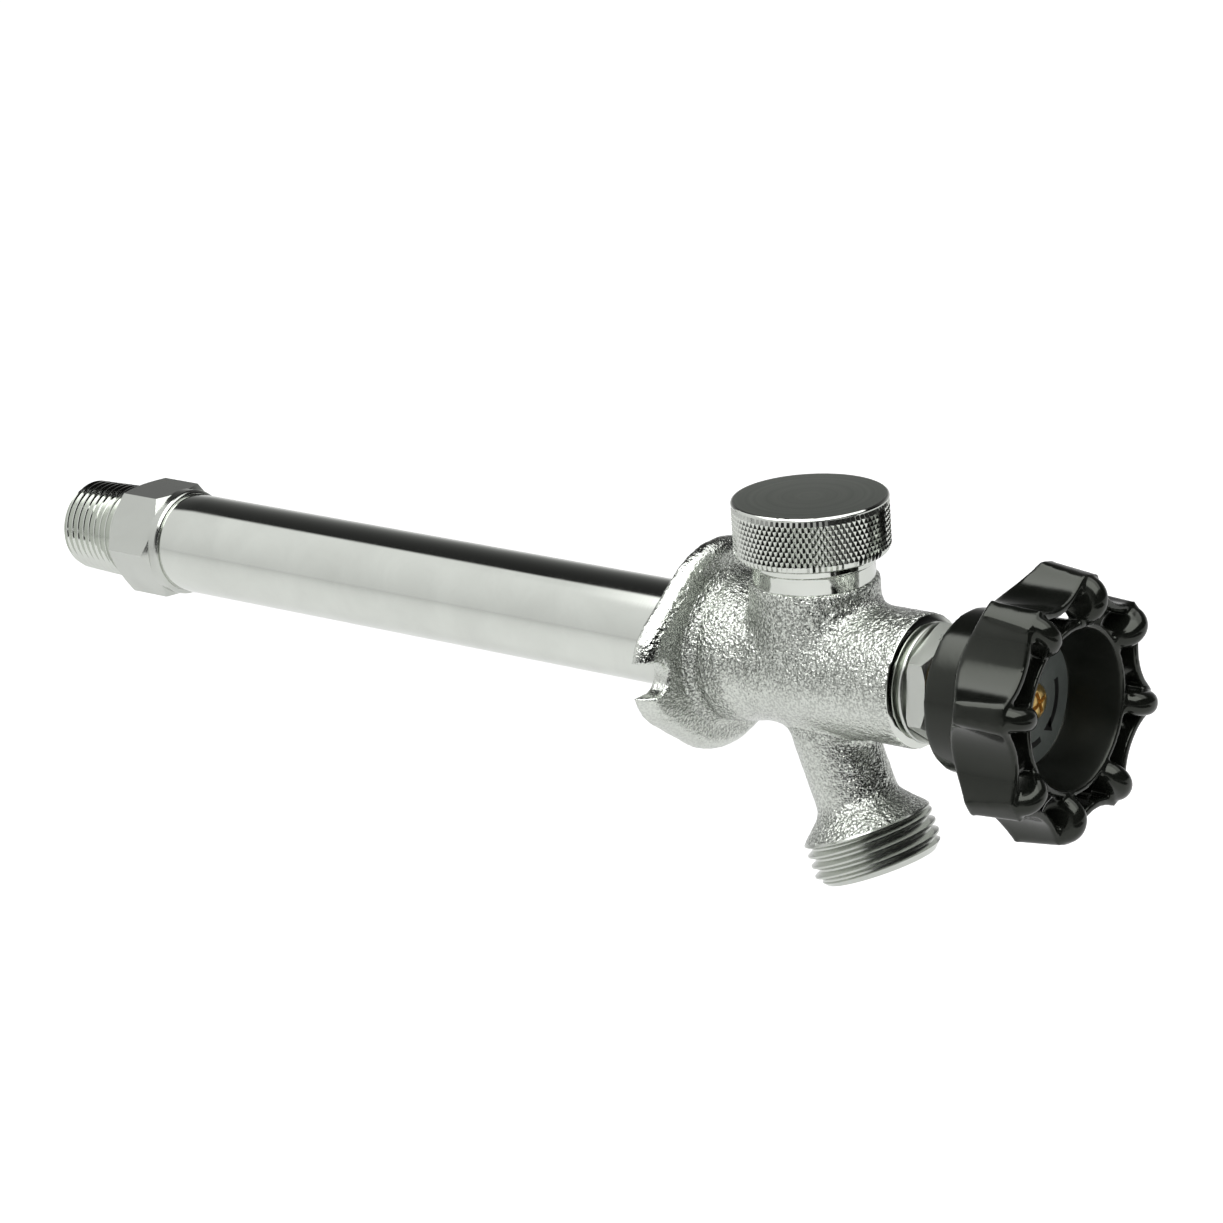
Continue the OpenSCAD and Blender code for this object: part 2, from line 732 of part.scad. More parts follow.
// Operating screw: a socket for the rod, ring crests, the packed shaft and a square for the handle
module stem_front() {
    pitch = screw_lead;
    count = floor(screw_len / pitch);
    first = screw_d0 + pitch / 2;
    thread = crests(screw_r, screw_depth, pitch, count, pitch / 4, 0, first);
    color("goldenrod") difference() {
        union() {
            turned(concat(
                [[0, stem_back], [stem_neck_r, stem_back], [stem_neck_r, screw_d0]],
                thread,
                [[screw_r - screw_depth, screw_d1], [stem_r, screw_d1], [stem_r, hub_back], [0, hub_back]]
            ));
            front_slab(hub_back - cut, stem_front_d) square(square_w, center = true);
        }
        bar(rod_r + fixed_gap, stem_back - cut, stem_back + rod_socket);
        bar(shank_r + fixed_gap, plate_front - shank_len - 0.5, stem_front_d + cut);
    }
}

// Outline of the wheel's rim, moved inwards by a distance
module wheel_outline(inset) {
    difference() {
        circle(r = lobe_r - inset);
        for (i = [0 : lobes - 1]) rotate(90 - lobe_turn - (i + 0.5) * 360 / lobes)
            translate([valley_r + bite_r, 0]) circle(r = bite_r + inset);
    }
}

// Wavy rim, cut back on hollow cones from its lobes towards the skirt
module wheel_rim() {
    root_d = rim_back - (lobe_r - skirt_r) * rim_slope;
    knee_r = skirt_r + (lobe_r - skirt_r) * rim_knee;
    knee_d = root_d + (rim_back - root_d) * rim_knee + rim_hollow;
    intersection() {
        front_slab(root_d, rim_front) difference() {
            wheel_outline(0);
            wheel_outline(rim_t);
        }
        turned([
            [0, root_d], [skirt_r, root_d], [knee_r, knee_d], [lobe_r, rim_back],
            [lobe_r - lobe_taper, rim_front], [0, rim_front]
        ]);
    }
}

// Finger that carries a lobe: a thick disc on edge with rounded edges
module finger() {
    flat_r = finger_r - finger_edge;
    flat_t = finger_t - 2 * finger_edge;
    translate([0, -finger_d, finger_at]) rotate([0, 90, 0]) rotate_extrude() {
        translate([0, -finger_t / 2]) square([flat_r, finger_t]);
        translate([0, -flat_t / 2]) square([finger_r, flat_t]);
        for (side = [-1, 1]) translate([flat_r, side * flat_t / 2]) circle(r = finger_edge);
    }
}

// Cup, skirt and hub, with fingers that carry the wavy rim
module handle_wheel() {
    color("black") difference() {
        union() {
            turned([
                [skirt_r - handle_wall, skirt_d], [skirt_r, skirt_d], [cup_rim_r, rim_cup_d],
                [cup_rim_r - handle_wall, rim_cup_d], [cup_floor_r, floor_d],
                [0, floor_d], [0, floor_back], [skirt_r - handle_wall, floor_back]
            ]);
            bar(hub_r, hub_back, floor_back + cut);
            wheel_rim();
            for (i = [0 : lobes - 1]) rotate([0, lobe_turn + i * 360 / lobes, 0]) finger();
        }
        front_slab(hub_back - cut, square_end) square(square_w + 2 * fixed_gap, center = true);
        bar(shank_r + side_gap, square_end - cut, floor_d + cut);
    }
}

module index_plate() {
    color("dimgray") ring(shank_r + side_gap, plate_r, floor_d, plate_front);
}

// Screw with a low rounded head and a cross recess
module handle_screw() {
    recess_len = screw_head_r * 1.1;
    head_front = plate_front + screw_head_t;
    head_side = plate_front + screw_head_t * 0.4;
    color("gold") difference() {
        union() {
            turned([
                [0, plate_front], [screw_head_r, plate_front], [screw_head_r, head_side],
                [screw_head_r * 0.6, head_front], [0, head_front]
            ]);
            bar(shank_r, plate_front - shank_len, plate_front + cut / 2);
        }
        for (turn = [0, 90]) rotate([0, turn, 0])
            translate([-recess_len / 2, -head_front - cut, -recess_w / 2])
                cube([recess_len, screw_head_t / 2 + cut, recess_w]);
    }
}

body_casting();
supply_tube();
inlet_fitting();
stem_guide();
breaker_guide();
poppet();
poppet_seal();
bonnet_gasket();
breaker_bonnet();
breaker_cap();
bush_gasket();
thread_bush();
packing_washer();
packing_ring();
packing_nut();
washer_holder();
holder_clip();
seat_washer();
washer_screw();
stem_rod();
stem_front();
handle_wheel();
index_plate();
handle_screw();
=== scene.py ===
import json
import math

import bpy
from bpy.props import FloatProperty, FloatVectorProperty, IntProperty, PointerProperty
from mathutils import Matrix, Vector


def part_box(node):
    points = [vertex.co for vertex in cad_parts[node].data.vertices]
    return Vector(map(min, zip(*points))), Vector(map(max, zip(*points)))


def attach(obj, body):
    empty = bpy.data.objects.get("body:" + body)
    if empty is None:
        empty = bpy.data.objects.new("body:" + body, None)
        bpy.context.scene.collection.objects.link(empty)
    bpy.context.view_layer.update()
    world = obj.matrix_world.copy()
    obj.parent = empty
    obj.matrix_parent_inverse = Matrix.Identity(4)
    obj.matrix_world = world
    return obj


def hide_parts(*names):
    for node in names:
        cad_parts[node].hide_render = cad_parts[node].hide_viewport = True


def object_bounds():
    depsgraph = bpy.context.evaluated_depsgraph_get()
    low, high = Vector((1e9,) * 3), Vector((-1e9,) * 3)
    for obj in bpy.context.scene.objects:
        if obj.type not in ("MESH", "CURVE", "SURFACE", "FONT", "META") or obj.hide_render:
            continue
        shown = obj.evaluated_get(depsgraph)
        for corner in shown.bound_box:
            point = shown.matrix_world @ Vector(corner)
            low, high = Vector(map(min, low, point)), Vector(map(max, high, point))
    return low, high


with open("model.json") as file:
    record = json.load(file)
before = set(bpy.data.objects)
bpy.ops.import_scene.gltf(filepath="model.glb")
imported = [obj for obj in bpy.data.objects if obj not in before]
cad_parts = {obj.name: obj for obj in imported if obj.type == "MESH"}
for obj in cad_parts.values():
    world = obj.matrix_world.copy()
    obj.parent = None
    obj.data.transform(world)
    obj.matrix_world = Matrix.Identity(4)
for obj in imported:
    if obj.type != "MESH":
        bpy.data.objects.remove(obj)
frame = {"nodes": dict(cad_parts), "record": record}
CAD_BOX = [list(corner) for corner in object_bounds()]

bl_info = {
    "name": "Frost free sillcock",
    "version": (1, 0, 0),
    "blender": (4, 5, 0),
    "location": "View3D > Sidebar > Sillcock",
    "description": "Models and finishes a frost free sillcock around its packed frame",
    "category": "Object",
}

MM = 0.001
ROUND_STEPS = 128
MERGE_GAP = 0.002 * MM
BEVEL_GAP = 0.015 * MM  # wider, for the slivers that a bevel leaves
OVER = 1.0 * MM  # reach of a cutting tool past the piece
SCREW_HOLE = 2.4 * MM  # radius of the hole for the handle's screw
WHITE = (1.0, 1.0, 1.0, 1.0)

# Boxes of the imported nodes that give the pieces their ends
CAP_LOW, CAP_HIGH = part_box("breaker_cap")
NUT_LOW, NUT_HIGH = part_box("packing_nut")
TUBE_LOW, TUBE_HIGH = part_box("supply_tube")
INLET_LOW, INLET_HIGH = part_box("inlet_fitting")
WHEEL_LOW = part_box("handle_wheel")[0]
PLATE_LOW, PLATE_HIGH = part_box("index_plate")
SCREW_LOW, SCREW_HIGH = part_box("handle_screw")


def length(mm, name, description):
    """Length property, with its default written in millimetres."""
    return FloatProperty(name=name, description=description, default=mm * MM, min=0.0,
                         unit="LENGTH", subtype="DISTANCE", precision=5)


def degrees(angle, name, description):
    """Angle property, with its default written in degrees."""
    return FloatProperty(name=name, description=description, default=math.radians(angle),
                         unit="ROTATION", subtype="ANGLE")


def colour(rgb, name, description):
    """Colour property."""
    return FloatVectorProperty(name=name, description=description, default=rgb, size=3,
                               min=0.0, max=1.0, subtype="COLOR")


class SillcockSizes(bpy.types.PropertyGroup):
    """Sizes of the sillcock's visible pieces"""

    tube_radius: length(TUBE_HIGH.x / MM, "Tube radius", "Outside radius of the supply tube")
    tube_wall: length(1.0, "Tube wall", "Wall of the supply tube")
    tube_length: length(TUBE_HIGH.y / MM, "Tube length", "Tube from the wall to the inlet")
    socket_depth: length(-TUBE_LOW.y / MM, "Socket depth", "How far the tube goes into the body")
    flange_radius: length(22.2, "Flange radius", "Radius of the flange's middle")
    flange_tip_radius: length(13.4, "Flange tip radius", "Radius of the flange's two ends")
    flange_tip_offset: length(15.0, "Flange tip offset", "Centre of each end from the axis")
    flange_thickness: length(4.0, "Flange thickness", "Thickness of the wall flange")
    root_radius: length(15.1, "Root radius", "Swelling of the barrel in front of the flange")
    flange_edge: length(0.5, "Flange edge", "Rounding of the flange's back and of its slots")
    flange_round: length(3.3, "Flange round", "Rounding of the flange's front edge")
    slot_width: length(7.0, "Slot width", "Width of the screw slots")
    slot_offset: length(24.5, "Slot offset", "Centre of each slot's round end from the axis")
    barrel_radius: length(13.7, "Barrel radius", "Radius of the cast barrel")
    barrel_length: length(53.0, "Barrel length", "Front of the barrel from the wall")
    ring_bevel: length(0.9, "Ring bevel", "Depth of the turned bevel at the barrel's front")
    chamber_radius: length(8.8, "Chamber radius", "Bore of the barrel")
    shoulder_depth: length(34.6, "Shoulder depth", "Where the front bore starts")
    front_bore: length(10.35, "Front bore", "Radius of the bore for the bush and nut")
    breaker_depth: length(-(CAP_LOW.y + CAP_HIGH.y) / 2 / MM, "Breaker depth",
                          "Axis of the vacuum breaker from the wall")
    boss_radius: length(13.3, "Boss radius", "Radius of the cast boss")
    boss_top: length(18.0, "Boss top", "Top of the cast boss over the axis")
    neck_radius: length(12.5, "Neck radius", "Radius of the turned neck")
    neck_collar: length(13.0, "Neck collar", "Radius of the ring under the cap")
    neck_top: length(26.5, "Neck top", "Top of the turned neck over the axis")
    breaker_bore: length(9.2, "Breaker bore", "Bore of the boss and the neck")
    port_radius: length(8.0, "Port radius", "Bore from the barrel into the boss")
    ledge_height: length(10.8, "Ledge height", "Seat of the poppet's guide over the axis")
    spout_depth: length(23.4, "Spout depth", "Where the spout's axis leaves the barrel's axis")
    spout_tilt: degrees(20.5, "Spout tilt", "Lean of the spout away from the wall")
    spout_radius: length(8.5, "Spout radius", "Radius of the cast spout")
    spout_bore: length(6.0, "Spout bore", "Radius of the waterway in the spout")
    spout_length: length(44.6, "Spout length", "Outlet from the barrel's axis")
    flare_start: length(30.54, "Flare start", "Where the spout starts to widen")
    flare_hollow: length(4.0, "Flare hollow", "Radius of the hollow where the spout widens")
    hose_radius: length(13.45, "Hose thread radius", "Radius over the hose thread's crests")
    hose_tooth: length(1.35, "Hose thread depth", "Depth of the hose thread")
    hose_pitch: length(2.209, "Hose thread pitch", "Advance of the hose thread per turn")
    mouth_radius: length(9.4, "Mouth radius", "Seat for the hose washer")
    mouth_length: length(7.0, "Mouth length", "Depth of the seat for the hose washer")
    cap_radius: length(CAP_HIGH.x / MM, "Cap radius", "Radius of the breaker cap")
    cap_bore: length(13.5, "Cap bore", "Inside radius of the breaker cap")
    cap_roof: length(2.2, "Cap roof", "Thickness of the cap's top")
    cap_bevel: length(0.6, "Cap bevel", "Rounding of the cap's top edge")
    cap_foot: length(0.35, "Cap foot", "Bevel of the cap's lower edge")
    knurl_height: length(0.45, "Knurl height", "Height of the cap's diamonds")
    nut_flats: length(21.8, "Nut flats", "Packing nut across its flats")
    nut_collar: length(12.2, "Nut collar", "Radius of the packing nut's collar")
    nut_hex_depth: length(55.5, "Nut hexagon", "Where the nut's hexagon starts, from the wall")
    nut_bevel: length(1.2, "Nut bevel", "Bevel of the nut's corners")
    packing_radius: length(7.5, "Packing radius", "Bore for the packing in the nut")
    packing_depth: length(55.8, "Packing depth", "Front of the packing from the wall")
    stem_hole: length(4.3, "Stem hole", "Bore of the nut for the stem")
    inlet_flats: length(23.2, "Inlet flats", "Inlet hexagon across its flats")
    inlet_hex_length: length(15.0, "Inlet hexagon", "Length of the inlet hexagon with its collar")
    inlet_collar: length(11.9, "Inlet collar", "Radius of the round collar at the tube")
    inlet_collar_length: length(2.3, "Inlet collar length", "Length of the round collar at the tube")
    pipe_radius: length(10.67, "Pipe thread radius", "Radius over the pipe thread's largest crest")
    pipe_tooth: length(1.3, "Pipe thread depth", "Depth of the pipe thread")
    pipe_pitch: length(1.814, "Pipe thread pitch", "Advance of the pipe thread per turn")
    solder_cup: length(7.98, "Solder cup", "Radius of the solder cup in the inlet")
    solder_depth: length(12.7, "Solder depth", "Depth of the solder cup")
    seat_bore: length(5.2, "Seat bore", "Waterway through the valve seat")
    seat_distance: length(INLET_LOW.y / MM, "Seat distance", "Valve seat from the wall")
    spigot_radius: length(10.05, "Spigot radius", "Part of the inlet inside the tube")
    skirt_radius: length(16.5, "Skirt radius", "Back of the handle's skirt")
    skirt_depth: length(63.0, "Skirt depth", "Back of the handle from the wall")
    cup_radius: length(17.2, "Cup radius", "Radius of the handle's cup at its rim")
    cup_edge: length(1.2, "Cup edge", "Thickness of the cup's rim")
    cup_depth: length(87.9, "Cup depth", "Front of the cup's rim from the wall")
    cup_floor: length(76.3, "Cup floor", "Floor of the cup from the wall")
    cup_floor_radius: length(13.6, "Cup floor radius", "Radius of the cup's floor")
    floor_thickness: length(2.5, "Floor thickness", "Thickness of the cup's floor")
    wheel_wall: length(1.8, "Wheel wall", "Wall of the handle's skirt")
    hub_radius: length(6.5, "Hub radius", "Hub behind the cup's floor")
    hub_back: length(67.3, "Hub back", "Back of the hub from the wall")
    lobe_radius: length(27.7, "Lobe radius", "Radius over the handle's lobes")
    lobe_front_radius: length(26.5, "Lobe front radius", "Radius over the lobes at the front")
    valley_radius: length(22.6, "Valley radius", "Radius at the valleys between the lobes")
    bite_radius: length(12.0, "Bite radius", "Radius of the hollow between two lobes")
    rim_thickness: length(1.7, "Rim thickness", "Thickness of the wavy rim")
    rim_back: length(77.5, "Rim back", "Back of the lobes from the wall")
    rim_front: length(88.0, "Rim front", "Front of the lobes from the wall")
    finger_radius: length(4.8, "Finger radius", "Radius of a finger, seen from its side")
    finger_offset: length(21.5, "Finger offset", "Middle of a finger from the axis")
    finger_thickness: length(4.8, "Finger thickness", "Thickness of a finger")
    finger_edge: length(2.2, "Finger edge", "Rounding of a finger's edges")
    square_width: length(5.7, "Square width", "Square socket in the handle's hub")
    lobe_turn: degrees(13.4, "Lobe turn", "Turn of the first lobe from straight up")
    lobes: IntProperty(name="Lobes", description="Lobes of the handle", default=8, min=3)
    knurl_columns: IntProperty(name="Knurl columns", description="Diamonds around the cap",
                               default=84, min=12)
    knurl_rows: IntProperty(name="Knurl rows", description="Rows of diamonds on the cap",
                            default=10, min=2)


class SillcockColours(bpy.types.PropertyGroup):
    """Colours of the sillcock's finishes"""

    cast: colour((0.66, 0.685, 0.64), "Cast chrome", "Plated sand casting")
    cast_shade: colour((0.30, 0.315, 0.29), "Cast chrome in the pits", "Dull pits of the casting")
    bright: colour((0.69, 0.715, 0.67), "Bright chrome", "Polished plate")
    bright_shade: colour((0.60, 0.62, 0.58), "Bright chrome, dulled", "Handled plate")
    # Painted shade: the cap's satin top gets a dark colour that stands for the dark room it reflects.
    cap_top: colour((0.31, 0.335, 0.30), "Cap top", "Satin top of the breaker cap")
    enamel: colour((0.0050, 0.0058, 0.0046), "Enamel", "Black enamel of the handle")
    enamel_dust: colour((0.013, 0.014, 0.012), "Enamel, dusty", "Worn enamel of the handle")
    # Painted shade: the plate's own grey-green is made darker to stand for the shade inside the cup.
    index: colour((0.105, 0.118, 0.11), "Index plate", "Grey plate in the handle's cup")
    print: colour((0.008, 0.008, 0.008), "Index print", "Arrows on the index plate")
    brass: colour((0.78, 0.56, 0.24), "Brass", "Turned brass")
    brass_shade: colour((0.45, 0.27, 0.09), "Brass, tarnished", "Tarnish on brass")
    rod: colour((0.66, 0.36, 0.20), "Rod", "Drawn copper rod")
    steel: colour((0.55, 0.55, 0.55), "Steel", "Spring steel")
    plastic: colour((0.78, 0.77, 0.72), "Plastic", "Moulded white plastic")
    rubber: colour((0.03, 0.03, 0.03), "Rubber", "Black rubber")
    floor: colour((0.90, 0.90, 0.90), "Floor", "Pale studio floor")


# Modelling

# Turns that lay an outline's axis along the tube, towards the user and into the wall
DEPTH = Matrix.Rotation(math.radians(90), 4, "X")
INWARD = Matrix.Rotation(math.radians(-90), 4, "X")


def drop_selection():
    """Leaves edit mode and deselects everything."""
    if bpy.context.object and bpy.context.object.mode != "OBJECT":
        bpy.ops.object.mode_set(mode="OBJECT")
    bpy.ops.object.select_all(action="DESELECT")


def pick(piece):
    """Makes one piece the only selected and active one."""
    drop_selection()
    piece.select_set(True)
    bpy.context.view_layer.objects.active = piece


def place(piece, matrix):
    """Moves a piece and puts the move into its mesh."""
    pick(piece)
    piece.matrix_world = matrix @ piece.matrix_world
    bpy.ops.object.transform_apply(location=True, rotation=True, scale=True)
    return piece


def modified(piece, kind, **settings):
    """Adds a modifier and applies it."""
    pick(piece)
    modifier = piece.modifiers.new(kind.title(), kind)
    for key, value in settings.items():
        setattr(modifier, key, value)
    bpy.ops.object.modifier_apply(modifier=modifier.name)
    return piece


def combined(piece, tool, operation):
    """Cuts, fuses or trims a piece with a tool, which is used up."""
    modified(piece, "BOOLEAN", operation=operation, solver="MANIFOLD", object=tool)
    bpy.data.objects.remove(tool)
    if not piece.data.polygons:
        raise RuntimeError(piece.name + " was lost in a cut")
    return piece


def joined(name, pieces):
    """Puts several pieces into one mesh."""
    drop_selection()
    for piece in pieces:
        piece.select_set(True)
    bpy.context.view_layer.objects.active = pieces[0]
    bpy.ops.object.join()
    bpy.context.object.name = name
    return bpy.context.object


def select_points(piece, test):
    """Selects the points that pass a test and opens the piece in edit mode."""
    pick(piece)
    mesh = piece.data
    mesh.polygons.foreach_set("select", [False] * len(mesh.polygons))
    mesh.edges.foreach_set("select", [False] * len(mesh.edges))
    mesh.vertices.foreach_set("select", [bool(test(point.co)) for point in mesh.vertices])
    bpy.context.tool_settings.mesh_select_mode = (True, False, False)
    bpy.ops.object.mode_set(mode="EDIT")


def open_all(piece):
    """Opens a piece in edit mode with everything selected."""
    pick(piece)
    bpy.ops.object.mode_set(mode="EDIT")
    bpy.ops.mesh.select_all(action="SELECT")


def soften(piece, test, repeat):
    """Smooths the points that pass a test, as a cast or blended corner."""
    select_points(piece, test)
    bpy.ops.mesh.vertices_smooth(factor=0.5, repeat=repeat)
    bpy.ops.object.mode_set(mode="OBJECT")


def block(matrix):
    """Cube with edges of one unit, stretched and put in place by a matrix, for cutting."""
    drop_selection()
    bpy.ops.mesh.primitive_cube_add(size=1)
    return place(bpy.context.object, matrix)


def cleaned(piece, gap=MERGE_GAP):
    """Merges points nearer than a gap and turns all faces outwards."""
    open_all(piece)
    bpy.ops.mesh.remove_doubles(threshold=gap)
    bpy.ops.mesh.normals_make_consistent(inside=False)
    bpy.ops.object.mode_set(mode="OBJECT")
    return piece


def bevelled(piece, width, segments, angle):
    """Bevels the edges that are sharper than an angle in degrees."""
    modified(piece, "BEVEL", width=width, segments=segments, limit_method="ANGLE",
             angle_limit=math.radians(angle))


def marked(piece, name, amount):
    """Stores a mask on a piece's points, by a rule that gives each point its amount."""
    mask = piece.data.attributes.new(name, "FLOAT", "POINT")
    for point in piece.data.vertices:
        mask.data[point.index].value = amount(point)


def part_way(value, start, stop):
    """How far a value is from start to stop, from 0 to 1."""
    return min(max((value - start) / (stop - start), 0.0), 1.0)


def traced(name, outline, closed):
    """Draws an outline of radius and height by extruding one point, and stays in edit mode."""
    drop_selection()
    bpy.ops.mesh.primitive_plane_add(size=MM)
    piece = bpy.context.object
    piece.name = name
    bpy.ops.object.mode_set(mode="EDIT")
    bpy.context.tool_settings.mesh_select_mode = (True, False, False)
    bpy.ops.mesh.select_all(action="SELECT")
    bpy.ops.mesh.merge(type="CENTER")
    corners = list(outline) + ([outline[0]] if closed else [])
    bpy.ops.transform.translate(value=(corners[0][0], 0, corners[0][1]))
    for here, there in zip(corners, corners[1:]):
        step = (there[0] - here[0], 0, there[1] - here[1])
        bpy.ops.mesh.extrude_vertices_move(TRANSFORM_OT_translate={"value": step})
    bpy.ops.mesh.select_all(action="SELECT")
    bpy.ops.mesh.remove_doubles(threshold=MERGE_GAP)
    bpy.ops.mesh.select_all(action="SELECT")
    return piece


def turned(name, outline, matrix=Matrix(), closed=False, steps=ROUND_STEPS):
    """Spins an outline of radius and height about its axis and puts it in place."""
    piece = traced(name, outline, closed)
    bpy.ops.mesh.spin(steps=steps, angle=math.tau, center=(0, 0, 0), axis=(0, 0, 1))
    bpy.ops.object.mode_set(mode="OBJECT")
    return place(cleaned(piece), matrix)


def stepped(name, low, steps, matrix=Matrix()):
    """Round bar in steps, each given as its radius and the height where it ends."""
    outline = [(0, low)]
    for radius, high in steps:
        outline += [(radius, outline[-1][1]), (radius, high)]
    return turned(name, [*outline, (0, outline[-1][1])], matrix)


def arc(radius, height, size, start, stop, count=8):
    """Points of an arc in an outline, by its centre, size and two angles in degrees."""
    angles = [math.radians(start + (stop - start) * i / count) for i in range(count + 1)]
    return [(radius + size * math.cos(a), height + size * math.sin(a)) for a in angles]


def round_bar(name, radius, low, high, matrix=Matrix(), offset=(0, 0), steps=ROUND_STEPS):
    """Plain bar between two heights, for cutting and building up."""
    drop_selection()
    bpy.ops.mesh.primitive_cylinder_add(vertices=steps, radius=radius, depth=high - low,
                                        location=(offset[0], offset[1], (low + high) / 2))
    bpy.context.object.name = name
    return place(bpy.context.object, matrix)


def hull_of(pieces):
    """Stretches one skin around several pieces."""
    piece = joined(pieces[0].name, pieces)
    open_all(piece)
    bpy.ops.mesh.convex_hull()
    bpy.ops.mesh.select_all(action="SELECT")
    bpy.ops.mesh.dissolve_limited(angle_limit=math.radians(0.5))
    bpy.ops.object.mode_set(mode="OBJECT")
    return piece


def hexagon(name, flats, low, high, front_bevel, back_bevel, turn):
    """Hexagon bar, turned down at both ends by bevels that reach inwards and along it."""
    corner = flats / 2 / math.cos(math.radians(30))
    bar = round_bar(name, corner, low, high, Matrix.Rotation(turn, 4, "Z"), steps=6)
    (back_in, back_along), (front_in, front_along) = back_bevel, front_bevel
    cone = turned("corners", [
        (0, low - MM), (corner - back_in - MM * back_in / back_along, low - MM),
        (corner, low + back_along), (corner + MM, low + back_along + MM),
        (corner + MM, high - front_along - MM), (corner, high - front_along),
        (corner - front_in - MM * front_in / front_along, high + MM), (0, high + MM)])
    return combined(bar, cone, "INTERSECT")


def thread_ridge(root, crest, pitch, flat, start, turns, shrink=0.0):
    """One helical ridge along the axis, nearer to it by shrink for each unit of height."""
    sunk = 0.2 * MM
    half = pitch / 2 - flat / 2
    base = half + sunk * (half - flat / 2) / (crest - root)
    outline = [(root - sunk, -base), (crest, -flat / 2), (crest, flat / 2), (root - sunk, base)]
    piece = traced("ridge", outline, closed=True)
    modified(piece, "SCREW", axis="Z", angle=math.tau, screw_offset=pitch, iterations=turns,
             steps=ROUND_STEPS, render_steps=ROUND_STEPS, use_merge_vertices=False)
    open_all(piece)
    bpy.ops.mesh.fill_holes(sides=0)
    bpy.ops.object.mode_set(mode="OBJECT")
    for point in piece.data.vertices:
        reach = math.hypot(point.co.x, point.co.y)
        scale = (reach - shrink * point.co.z) / reach
        point.co = (point.co.x * scale, point.co.y * scale, point.co.z)
    return place(cleaned(piece), Matrix.Translation((0, 0, start)))


def finished(piece, body, slot, look, *nodes, angle=35):
    """Shades a piece, gives it its finish and puts it on its body in place of its nodes."""
    pick(piece)
    bpy.ops.object.shade_smooth_by_angle(angle=math.radians(angle))
    piece.data.materials.clear()
    piece.data.materials.append(finish(look))
    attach(piece, body)
    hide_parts(*nodes)


# Finishes

def fill(tree, node, inputs):
    """Links or sets the inputs of a shader node."""
    for key, value in inputs.items():
        if isinstance(value, bpy.types.NodeSocket):
            tree.links.new(value, node.inputs[key])
        else:
            node.inputs[key].default_value = value
    return node


def put(tree, kind, inputs=None, **settings):
    """Adds a shader node, sets it up and fills its inputs."""
    node = tree.nodes.new("ShaderNode" + kind)
    for key, value in settings.items():
        setattr(node, key, value)
    return fill(tree, node, inputs or {})


def bare_tree(owner):
    """Emptied node tree of a new material or world."""
    owner.use_nodes = True
    owner.node_tree.nodes.clear()
    return owner.node_tree


def object_place(tree):
    """Coordinates in the object's own frame."""
    return put(tree, "TexCoord").outputs["Object"]


def parts_of(tree):
    """The three object coordinates by their letters."""
    return put(tree, "SeparateXYZ", {"Vector": object_place(tree)}).outputs


def value_of(tree, operation, first, second=None):
    """Math node's result."""
    inputs = {0: first} if second is None else {0: first, 1: second}
    return put(tree, "Math", inputs, operation=operation).outputs[0]


def product(tree, first, second):
    """Two values multiplied."""
    return value_of(tree, "MULTIPLY", first, second)


def ranged(tree, value, given, wanted):
    """Value moved from a given range to a wanted one."""
    return put(tree, "MapRange", {"Value": value, "From Min": given[0], "From Max": given[1],
                                  "To Min": wanted[0], "To Max": wanted[1]}).outputs["Result"]


def noise(tree, scale, detail, roughness=0.5, distortion=0.0):
    """Noise in the object's own frame."""
    return put(tree, "TexNoise", {"Vector": object_place(tree), "Scale": scale, "Detail": detail,
                                  "Roughness": roughness, "Distortion": distortion}).outputs["Fac"]


def line_noise(tree, at, scale, detail, roughness=0.5):
    """Noise that changes along one value only."""
    return put(tree, "TexNoise", {"W": at, "Scale": scale, "Detail": detail, "Roughness": roughness},
               noise_dimensions="1D").outputs["Fac"]


def shared_effect(name, inputs, outputs):
    """Starts a node group with named inputs, given with their defaults, and outputs."""
    tree = bpy.data.node_groups.new(name, "ShaderNodeTree")
    for title, default in inputs.items():
        socket = tree.interface.new_socket(title, in_out="INPUT", socket_type="NodeSocketFloat")
        socket.default_value = default
    for title in outputs:
        tree.interface.new_socket(title, in_out="OUTPUT", socket_type="NodeSocketFloat")
    return tree, tree.nodes.new("NodeGroupInput").outputs, tree.nodes.new("NodeGroupOutput")


def sand_grain():
    """Grain, dull specks and slow waves of a sand casting."""
    tree, given, leave = shared_effect("sand grain", {"Grains": 2200.0}, ("Height", "Speck", "Wave"))
    lump = product(tree, noise(tree, scale=620.0, detail=2.0), 0.8)
    fill(tree, leave, {
        "Height": value_of(tree, "ADD", noise(tree, given["Grains"], detail=2.0, roughness=0.55), lump),
        "Speck": ranged(tree, noise(tree, scale=2000.0, detail=2.0), (0.46, 0.55), (0.0, 1.0)),
        "Wave": noise(tree, scale=180.0, detail=2.0)})
    return tree


def hand_marks():
    """Soft smudges and fine scratches of handled metal and paint."""
    tree, given, leave = shared_effect("hand marks", {"Spread": 90.0}, ("Smudge", "Scratch"))
    blot = noise(tree, given["Spread"], detail=4.0, roughness=0.6, distortion=0.4)
    fill(tree, leave, {"Smudge": ranged(tree, blot, (0.35, 0.7), (0.0, 1.0)),
                       "Scratch": noise(tree, scale=900.0, detail=5.0, roughness=0.7)})
    return tree


def tool_lines():
    """Fine lines that a lathe leaves across the given coordinate."""
    tree, given, leave = shared_effect("tool lines", {"Along": 0.0, "Lines": 4000.0}, ("Height", "Shade"))
    at = product(tree, given["Along"], given["Lines"])
    fill(tree, leave, {"Height": line_noise(tree, at, scale=1.0, detail=3.0, roughness=0.7),
                       "Shade": line_noise(tree, at, scale=0.13, detail=2.0)})
    return tree


